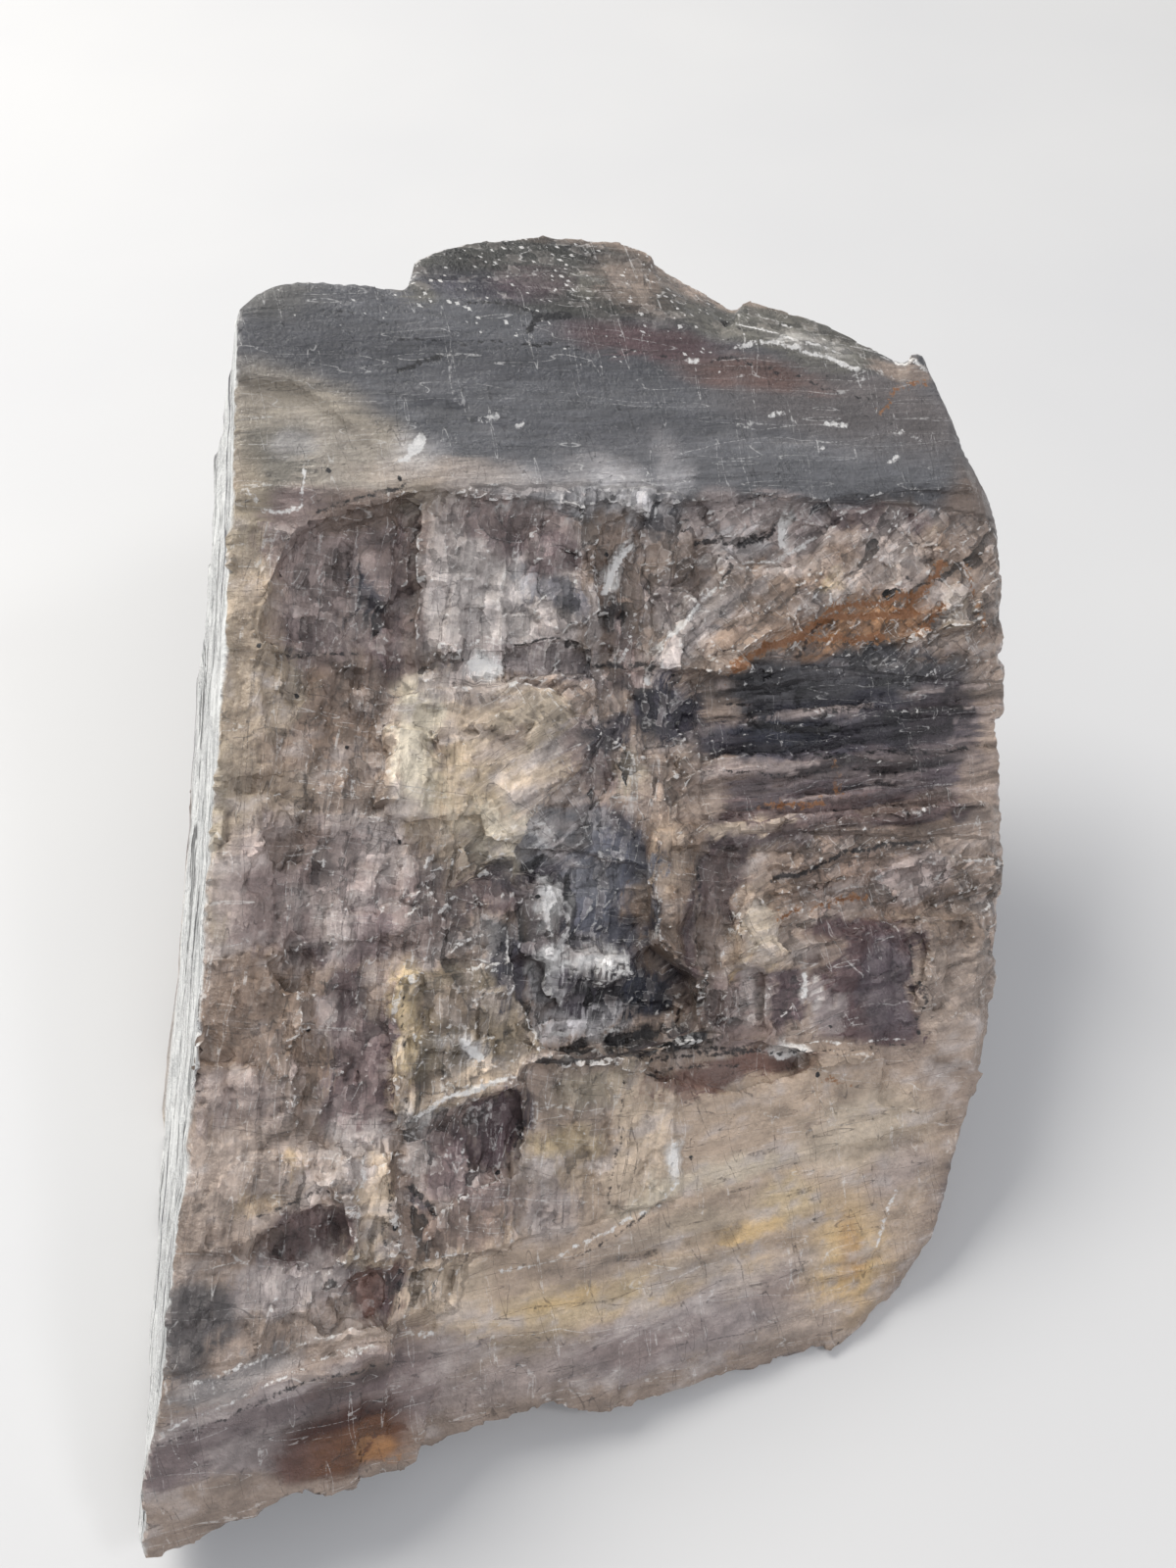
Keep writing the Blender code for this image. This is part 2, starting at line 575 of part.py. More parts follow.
def step_loop(u, v, half_u, half_v, rise, slant, rng):
    """An uneven five to six sided outline whose long sides follow the grain."""
    middle = rng.uniform(-0.3, 0.3)
    corners = [(-1.0, -1.0), (middle, -1.15), (1.0, -0.9), (1.1, 0.2), (0.9, 1.0), (-1.0, 0.95)]
    if rng.random() < 0.5:
        corners.pop(3)
    loop = []
    for a, b in corners:
        a += rng.uniform(-0.16, 0.16)
        b += rng.uniform(-0.16, 0.16)
        loop.append((u + half_u * a + slant * half_v * b, v + half_v * b + rise * half_u * a))
    return loop


def make_small_steps(group, rng):
    """Runs of small cleavage steps, each floor rising to the surface at one side, as a ledge does."""
    for name, range_u, range_v, runs, count, width, length, depth in STEP_FIELDS:
        grained = name in ("striation", "lower_right_step", "slate_nick")
        for run in range(runs):
            u = rng.uniform(*range_u)
            v = rng.uniform(*range_v)
            upright = not grained and rng.random() < 0.65
            for k in range(count):
                drop = rng.uniform(*depth)
                long_half = rng.uniform(*length) / 2
                short_half = rng.uniform(*width) / 2
                half_u, half_v = (short_half, long_half) if upright else (long_half, short_half)
                rise = 0.10 * (1.0 - v / 40.0)
                slant = rng.uniform(-0.12, 0.16)
                loop = step_loop(u, v, half_u, half_v, rise, slant, rng)
                if upright:
                    tilt_u = rng.choice((-1.0, 1.0)) * 0.55 * drop / half_u
                    tilt_v = rng.uniform(-0.05, 0.05)
                else:
                    tilt_u = rng.uniform(-0.05, 0.05)
                    tilt_v = -0.7 * drop / half_v
                floor = floor_at(u, v) - 0.6 * drop
                low = [(p[0], p[1], floor + tilt_u * (p[0] - u) + tilt_v * (p[1] - v)) for p in loop]
                high = [(p[0] + (p[0] - u) * 0.2, p[1] + (p[1] - v) * 0.2, floor + 4.5) for p in loop]
                loft(f"{name}_{run + 1:02d}_{k + 1}", low, high, group)
                u += rng.choice((-1.0, 1.0)) * half_u * rng.uniform(0.9, 1.5)
                v += rng.choice((-1.0, 1.0)) * half_v * rng.uniform(0.7, 1.3)


def make_back_steps(group):
    for name, at, facing, half_width, half_height, along, thick in BACK_STEPS:
        inner = Vector(at) - Vector(facing).normalized() * thick
        facet_box(name, inner, facing, half_width, half_height, group, along=along)


def make_scars(group):
    for name, centre, radius in SCARS:
        bm = bmesh.new()
        turn = Matrix.Translation(placed(*centre))
        bmesh.ops.create_icosphere(bm, subdivisions=3, radius=radius * 0.001, matrix=turn)
        finish_object(name, bm, group, wire=True)


def add_boolean(stone, name, operation, group):
    modifier = stone.modifiers.new(name, "BOOLEAN")
    modifier.operand_type = "COLLECTION"
    modifier.collection = group
    modifier.operation = operation
    modifier.solver = "EXACT"


def add_material(stone):
    """Dark feldspar: one plain finish for the whole stone."""
    rock = bpy.data.materials.new("dark_feldspar")
    rock.use_nodes = True
    surface = rock.node_tree.nodes["Principled BSDF"]
    surface.inputs["Base Color"].default_value = ROCK_COLOUR
    surface.inputs["Roughness"].default_value = 0.45
    stone.data.materials.append(rock)


def centre_on_ground(stone, everything):
    """Moves the stone and its cutters so that the origin is on the ground under the middle of the box."""
    bpy.context.view_layer.update()
    solid = stone.evaluated_get(bpy.context.evaluated_depsgraph_get())
    corners = [Vector(corner) for corner in solid.bound_box]
    low = Vector([min(c[i] for c in corners) for i in range(3)])
    high = Vector([max(c[i] for c in corners) for i in range(3)])
    shift = Matrix.Translation((-(low.x + high.x) / 2, -(low.y + high.y) / 2, -low.z))
    for obj in everything:
        obj.data.transform(shift)


def main():
    clear_scene()
    rng = random.Random(SEED)
    stone_group = new_collection("moonstone_rough", hidden=False)
    cutters = new_collection("moonstone_cutters", hidden=True)
    blades = new_collection("moonstone_blades", hidden=True)
    slots = new_collection("moonstone_slots", hidden=True)
    stone = make_block(stone_group, rng)
    slice_facets(stone)
    for entry in LEDGES:
        make_ledge(entry, cutters, rng)
    for name, at, facing, half_width, height in RIM_FACETS:
        facet_box(name, at, facing, half_width, height, cutters)
    make_back_steps(cutters)
    make_scars(cutters)
    for entry in STANDING_BLADES:
        make_blade(entry, blades, rng)
    make_sheet_steps(slots, rng)
    make_small_steps(slots, rng)
    for entry in CRACKS:
        make_crack(entry, slots, rng)
    add_boolean(stone, "ledges", "DIFFERENCE", cutters)
    add_boolean(stone, "blades", "UNION", blades)
    add_boolean(stone, "small_steps", "DIFFERENCE", slots)
    add_material(stone)
    centre_on_ground(stone, [stone, *cutters.objects, *blades.objects, *slots.objects])


main()
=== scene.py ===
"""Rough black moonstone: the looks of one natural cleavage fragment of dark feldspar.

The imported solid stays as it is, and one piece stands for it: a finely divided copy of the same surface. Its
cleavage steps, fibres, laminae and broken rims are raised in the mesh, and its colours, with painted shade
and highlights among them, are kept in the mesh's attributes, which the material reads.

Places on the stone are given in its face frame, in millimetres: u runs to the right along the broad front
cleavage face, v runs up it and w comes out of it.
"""
import itertools
import logging
import math
from dataclasses import dataclass, field
from enum import Enum, IntEnum
from functools import partial
from typing import Any, Callable, Iterable, Mapping, Sequence

import bmesh
import bpy
import numpy as np
from mathutils import Matrix, Vector
from mathutils.bvhtree import BVHTree


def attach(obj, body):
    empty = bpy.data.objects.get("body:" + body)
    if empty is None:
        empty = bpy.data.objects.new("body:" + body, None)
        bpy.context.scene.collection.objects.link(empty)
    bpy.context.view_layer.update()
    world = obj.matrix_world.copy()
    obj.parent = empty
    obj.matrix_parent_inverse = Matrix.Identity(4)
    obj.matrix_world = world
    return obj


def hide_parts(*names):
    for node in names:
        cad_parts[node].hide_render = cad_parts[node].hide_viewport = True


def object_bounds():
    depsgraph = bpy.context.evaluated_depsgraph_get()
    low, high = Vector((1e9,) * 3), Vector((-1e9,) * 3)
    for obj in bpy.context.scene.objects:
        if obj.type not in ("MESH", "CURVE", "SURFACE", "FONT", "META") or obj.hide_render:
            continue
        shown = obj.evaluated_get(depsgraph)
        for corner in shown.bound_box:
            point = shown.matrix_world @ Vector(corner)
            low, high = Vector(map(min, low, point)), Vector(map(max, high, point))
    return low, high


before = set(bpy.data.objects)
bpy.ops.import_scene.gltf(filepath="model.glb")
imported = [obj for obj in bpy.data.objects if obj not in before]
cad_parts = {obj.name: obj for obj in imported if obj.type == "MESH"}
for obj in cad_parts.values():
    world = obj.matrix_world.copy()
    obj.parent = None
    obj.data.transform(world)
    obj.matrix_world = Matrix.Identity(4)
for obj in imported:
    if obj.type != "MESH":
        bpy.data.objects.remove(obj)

CAD_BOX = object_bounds()
MM = 0.001
log = logging.getLogger("moonstone")

Arrays = Mapping[str, np.ndarray]
Place = tuple[float, float]
Span = tuple[float, float]
Socket = bpy.types.NodeSocket
Sockets = dict[str, Socket]
Outputs = bpy.types.bpy_prop_collection
AddNode = Callable[..., Outputs]


class Tone(Enum):
    """Colours of the feldspar, as sRGB hex values."""

    SLATE = "#5b5b5e"
    SLATE_DARK = "#444448"
    SLATE_PALE = "#777678"
    HUMP_OLIVE = "#373633"
    PURPLE_BROWN = "#503d3f"
    RED_BROWN = "#654a42"
    PALE_CHIP = "#5f5c55"
    MILK = "#b8b4b4"
    TAN = "#9d917f"
    OCHRE = "#ab9b86"
    MAUVE_DARK = "#685858"
    MAUVE = "#7e6e6a"
    PINK_GREY = "#a79893"
    PINK_PALE = "#b1a6a1"
    LILAC = "#918684"
    CREAM = "#c7b39d"
    CREAM_PALE = "#cec2ae"
    CREAM_YELLOW = "#bda887"
    CHARCOAL = "#393740"
    BLUE_BLACK = "#2b2d37"
    STEEL = "#5b5c65"
    STRIATED = "#51494d"
    BROWN = "#716157"
    BROWN_DARK = "#4e3f42"
    TAN_BROWN = "#7e6b5d"
    BEIGE = "#ac9886"
    BEIGE_PINK = "#a8978b"
    TAUPE = "#907f73"
    RUST = "#7b5234"
    RUST_BROWN = "#3c1d13"
    ORANGE = "#9c7049"
    YELLOW = "#cdad78"
    OLIVE = "#7d705e"
    # Crushed white powder, and painted highlights and glints where flats and edges catch the light.
    POWDER_AND_HIGHLIGHT = "#dedbd8"
    # Pale sheets of the left side, their white partly a painted reflection of the bright surround.
    SHEET_SHEEN = "#cfd0cf"
    SHEET_SHEEN_PALE = "#e6e6e4"
    BLACK = "#151316"


class Seed(IntEnum):
    """Where each pattern's random draws start."""

    SLOW = 5
    FINE = 45
    BROAD = 55
    LARGE_BLOCKS = 61
    MEDIUM_BLOCKS = 71
    SMALL_BLOCKS = 81
    THICK_LEDGES = 91
    THIN_LEDGES = 95
    SHEETS = 101
    ROUGH_EDGES = 111
    ROUGH_BLOCKS = 121
    ROUGH_CHIPS = 131
    WANDER = 141
    BACK_EDGES = 151
    BACK_BLOCKS = 161
    BACK_CLOUDS = 171
    BACK_TONES = 181
    BACK_RUST = 191
    TONE_EDGES = 201
    TONE_RIMS = 211
    STREAKS = 221
    TRACES = 231
    FRONT_RIM = 241
    GRAIN = 251
    CLOUDS = 261
    SMALL_CLOUDS = 271
    BLOCKS_BESIDE = 281


def linear(hex_colour: str) -> tuple[float, float, float]:
    """Turns an sRGB hex value into linear light.

    Args:
        hex_colour: The colour as #rrggbb.

    Returns:
        Red, green and blue in linear light.
    """
    parts = [int(hex_colour[k:k + 2], 16) / 255 for k in (1, 3, 5)]
    return tuple(p / 12.92 if p <= 0.04045 else ((p + 0.055) / 1.055) ** 2.4 for p in parts)


def smooth_step(low: float, high: float, value: np.ndarray) -> np.ndarray:
    """Rises smoothly from 0 at low to 1 at high, or falls where high is below low."""
    t = np.clip((value - low) / (high - low), 0.0, 1.0)
    return t * t * (3.0 - 2.0 * t)


def drawn(cells: np.ndarray, seed: int) -> np.ndarray:
    """Random numbers from 0 to 1 for whole-numbered cells, the same on every machine.

    Args:
        cells: Whole numbers, three in a row.
        seed: Which set of random numbers.

    Returns:
        One number for each row.
    """
    c = cells.astype(np.int64)
    mixed = (c[:, 0] * 374761393 + c[:, 1] * 668265263 + c[:, 2] * 461845907 + seed * 1274126177) & 0xFFFFFFFF
    mixed = ((mixed ^ (mixed >> 13)) * 1274126177) & 0xFFFFFFFF
    mixed = ((mixed ^ (mixed >> 15)) * 668265263) & 0xFFFFFFFF
    return (mixed ^ (mixed >> 16)) / 4294967296.0


def smooth_noise(points: np.ndarray, seed: int) -> np.ndarray:
    """Smooth noise with a period of about one unit.

    Args:
        points: Places, three numbers in a row.
        seed: Which noise.

    Returns:
        One number for each place, from -1 to 1.
    """
    base = np.floor(points).astype(np.int64)
    t = points - base
    t = t * t * (3.0 - 2.0 * t)
    total = np.zeros(len(points))
    for corner in itertools.product((0, 1), repeat=3):
        pick = np.array(corner)
        weight = np.where(pick == 1, t, 1.0 - t).prod(axis=1)
        total += weight * drawn(base + pick, seed)
    return 2.0 * total - 1.0


def layered_noise(points: np.ndarray, seed: int, octaves: int = 3) -> np.ndarray:
    """Smooth noise at several scales, each half as large and half as strong as the one before.

    Args:
        points: Places, three numbers in a row.
        seed: Which noise.
        octaves: At how many scales.

    Returns:
        One number for each place, from -1 to 1.
    """
    total = np.zeros(len(points))
    for k in range(octaves):
        total += smooth_noise(points * 2.0 ** k, seed + k) * 0.5 ** k
    return total / (2.0 - 0.5 ** (octaves - 1))


@dataclass(frozen=True)
class Cells:
    """Cleavage blocks at some points: the centre of each point's block, and the block's own draws."""

    centre: np.ndarray
    draw: np.ndarray


def cleavage_cells(points: np.ndarray, seed: int, reach: Sequence[int] = (1, 1, 1)) -> Cells:
    """Finds the block that each point is in. Blocks are square-cornered, as feldspar's cleavage makes them.

    Args:
        points: Points measured in blocks, three numbers in a row.
        seed: Which set of blocks.
        reach: How many blocks away to look along each direction.

    Returns:
        The blocks, with their centres in the same units as points.
    """
    base = np.floor(points).astype(np.int64)
    nearest = np.full(len(points), np.inf)
    centre = np.zeros_like(points)
    own = np.zeros_like(base)
    for offset in itertools.product(*(range(-r, r + 1) for r in reach)):
        cell = base + np.array(offset)
        jitter = np.stack([drawn(cell, seed + k) for k in range(3)], axis=1)
        middle = cell + 0.08 + 0.84 * jitter
        gap = np.abs(points - middle)[:, [k for k in range(3) if reach[k]]].max(axis=1)
        closer = gap < nearest
        nearest[closer] = gap[closer]
        centre[closer] = middle[closer]
        own[closer] = cell[closer]
    draw = np.stack([drawn(own, seed + 10 + k) for k in range(3)], axis=1)
    return Cells(centre, draw)


@dataclass(frozen=True)
class FaceFrame:
    """Where the broad front face lies in the resting stone: turns in radians, origin in millimetres."""

    turn: float = math.radians(17.0)
    lean: float = math.radians(9.0)
    look_down: float = math.radians(50.0)
    origin: tuple[float, float, float] = (0.62, -0.93, 30.0)

    def axes(self) -> Matrix:
        """Directions of u, v and w.

        Returns:
            A matrix with the three directions as its rows.
        """
        back = math.sin(self.turn)
        right = Vector((math.cos(self.turn), -back * math.sin(self.lean), -back * math.cos(self.lean)))
        up = Vector((0.0, math.cos(self.lean), -math.sin(self.lean)))
        tilt = Matrix.Rotation(math.pi / 2 - self.look_down, 3, "X")
        right = tilt @ right
        up = tilt @ up
        return Matrix((right, up, right.cross(up)))

    def face_points(self, places: np.ndarray) -> np.ndarray:
        """Turns places in the row frame, in metres, into u, v and w in millimetres."""
        return (places / MM - np.array(self.origin)) @ np.array(self.axes()).T

    def directions(self, normals: np.ndarray) -> np.ndarray:
        """Turns directions in the row frame into the face frame."""
        return normals @ np.array(self.axes()).T


@dataclass(frozen=True)
class Patch:
    """A patch of colour on the front: its middle, half sizes and turn in the face frame, and its rim."""

    name: str
    tone: Tone
    u: float
    v: float
    half_u: float
    half_v: float
    turn: float = 0.0
    soft: float = 0.35
    strength: float = 1.0
    square: bool = False

    def mask(self, u: np.ndarray, v: np.ndarray, softness: float = 1.0) -> np.ndarray:
        """How much of the patch shows at each point.

        Args:
            u: The points' places along the face.
            v: The points' places up the face.
            softness: A number under 1 makes the rim sharper.

        Returns:
            One number for each point, from 0 to 1.
        """
        rim = self.soft * softness
        run, rise = math.cos(math.radians(self.turn)), math.sin(math.radians(self.turn))
        du, dv = u - self.u, v - self.v
        power = 6.0 if self.square else 2.2
        x = np.abs(du * run + dv * rise) / self.half_u
        y = np.abs(dv * run - du * rise) / self.half_v
        return self.strength * smooth_step(1.0 + rim, 1.0 - rim, (x ** power + y ** power) ** (1.0 / power))


def laid(*rows: tuple) -> list[Patch]:
    """Patches from rows of their fields, in the order in which they are painted."""
    return [Patch(*row) for row in rows]


def distance_to(points: Sequence[Place], u: np.ndarray, v: np.ndarray) -> np.ndarray:
    """Millimetres from each place on the face to a line.

    Args:
        points: The line's points in the face frame.
        u: The places along the face.
        v: The places up the face.

    Returns:
        One distance for each place.
    """
    nearest = np.full(len(u), np.inf)
    for (u0, v0), (u1, v1) in zip(points, points[1:]):
        run = (u1 - u0, v1 - v0)
        along = np.clip(((u - u0) * run[0] + (v - v0) * run[1]) / (run[0] ** 2 + run[1] ** 2), 0.0, 1.0)
        nearest = np.minimum(nearest, np.hypot(u - u0 - along * run[0], v - v0 - along * run[1]))
    return nearest


# The slate band across the top, with the hump and the pale chip above it.
UPPER_PATCHES = laid(
    ("slate_band", Tone.SLATE, 5, 34.5, 34, 9, 1, 0.12, 1, True),
    ("slate_lower_run", Tone.SLATE, 12, 29, 24, 3.4, 3, 0.3),
    ("slate_dark_run", Tone.SLATE_DARK, -6, 36, 18, 1.7, 4, 0.5, 0.7),
    ("slate_dark_middle", Tone.SLATE_DARK, 4, 32, 9, 1.6, 4, 0.6, 0.5),
    ("slate_brown_right", Tone.BROWN, 23, 35.8, 11, 3.4, -2, 0.5, 0.35),
    ("slate_left_pale", Tone.SLATE_PALE, -23.6, 32.6, 3.4, 4, 0, 0.6, 0.2),
    ("slate_left_corner", Tone.PALE_CHIP, -23.8, 38.2, 2.2, 1.6, 20, 0.5, 0.5),
    ("slate_left_dark", Tone.SLATE_DARK, -21, 34.4, 5, 3, 4, 0.6, 0.6),
    ("slate_right_dark", Tone.SLATE_DARK, 20, 35, 8, 2.4, -2, 0.6, 0.3),
    ("purple_run", Tone.PURPLE_BROWN, 5, 39.4, 6.5, 1.5, 0, 0.4, 0.95),
    ("purple_run_right", Tone.RED_BROWN, 13.5, 37.6, 6, 1.1, 1, 0.5, 0.7),
    ("hump", Tone.HUMP_OLIVE, -2.6, 44.2, 11.5, 3.9, 1, 0.15),
    ("hump_dark_left", Tone.CHARCOAL, -8, 41.8, 5, 1.5, 4, 0.5, 0.8),
    ("hump_dark_middle", Tone.BROWN_DARK, -3.5, 43, 3.4, 1.5, 12, 0.5, 0.6),
    ("hump_light_right", Tone.TAUPE, 5.6, 44.2, 4, 2.4, -12, 0.5, 0.6),
    ("hump_olive_chip", Tone.PALE_CHIP, 1.1, 43.4, 1, 1.2, 4, 0.25, 0.9, True),
    ("hump_white_left", Tone.PALE_CHIP, -13, 40.6, 0.9, 1.2, 8, 0.3, 0.8, True),
    ("shoulder", Tone.HUMP_OLIVE, 9, 43, 2.6, 2.6, 0, 0.4, 0.8),
    ("pale_chip", Tone.PALE_CHIP, 17.5, 41.9, 9, 2.7, -6, 0.22),
    ("pale_chip_bright", Tone.POWDER_AND_HIGHLIGHT, 19.5, 40.9, 3.8, 0.9, 0, 0.6, 0.2),
    ("pale_chip_grey", Tone.HUMP_OLIVE, 12, 43.4, 2.4, 1.4, -30, 0.5, 0.5),
    ("pale_chip_tip", Tone.TAUPE, 27.5, 39.8, 2, 1, -8, 0.4, 0.8),
    ("tan_under_band", Tone.TAN, -20, 27.2, 8.4, 4.4, -22, 0.35, 0.95),
    ("tan_milk", Tone.MILK, -19.6, 27, 6, 3, -22, 0.7, 0.25),
    ("tan_glassy", Tone.PALE_CHIP, -23.2, 25.6, 2.3, 3.4, 4, 0.3, 0.75, True),
    ("tan_glassy_light", Tone.MILK, -22, 27.4, 1.6, 0.9, -10, 0.6, 0.4),
    ("beige_ledge", Tone.BEIGE, -11, 26.4, 6, 1, 5, 0.5, 0.65),
    ("milk_left", Tone.MILK, -13.2, 27.4, 2.4, 1.2, 25, 0.7, 0.5),
    ("milk_middle", Tone.MILK, -3, 26.6, 7, 1.3, 3, 0.7, 0.5),
    ("milk_bright", Tone.MILK, 3.6, 26.6, 4.6, 1.7, -24, 0.6, 0.85),
    ("milk_tail", Tone.MILK, 6.6, 29.2, 1.2, 2.6, 18, 0.7, 0.35),
    ("milk_right", Tone.SLATE_PALE, 16, 31.5, 10, 1.6, 5, 0.8, 0.4),
    ("pale_under_right", Tone.PINK_GREY, 11, 25.6, 2.4, 2.2, -12, 0.4, 0.7),
    ("right_shoulder_tan", Tone.TAN_BROWN, 33.2, 27, 2.8, 5, -12, 0.5, 0.7),
)

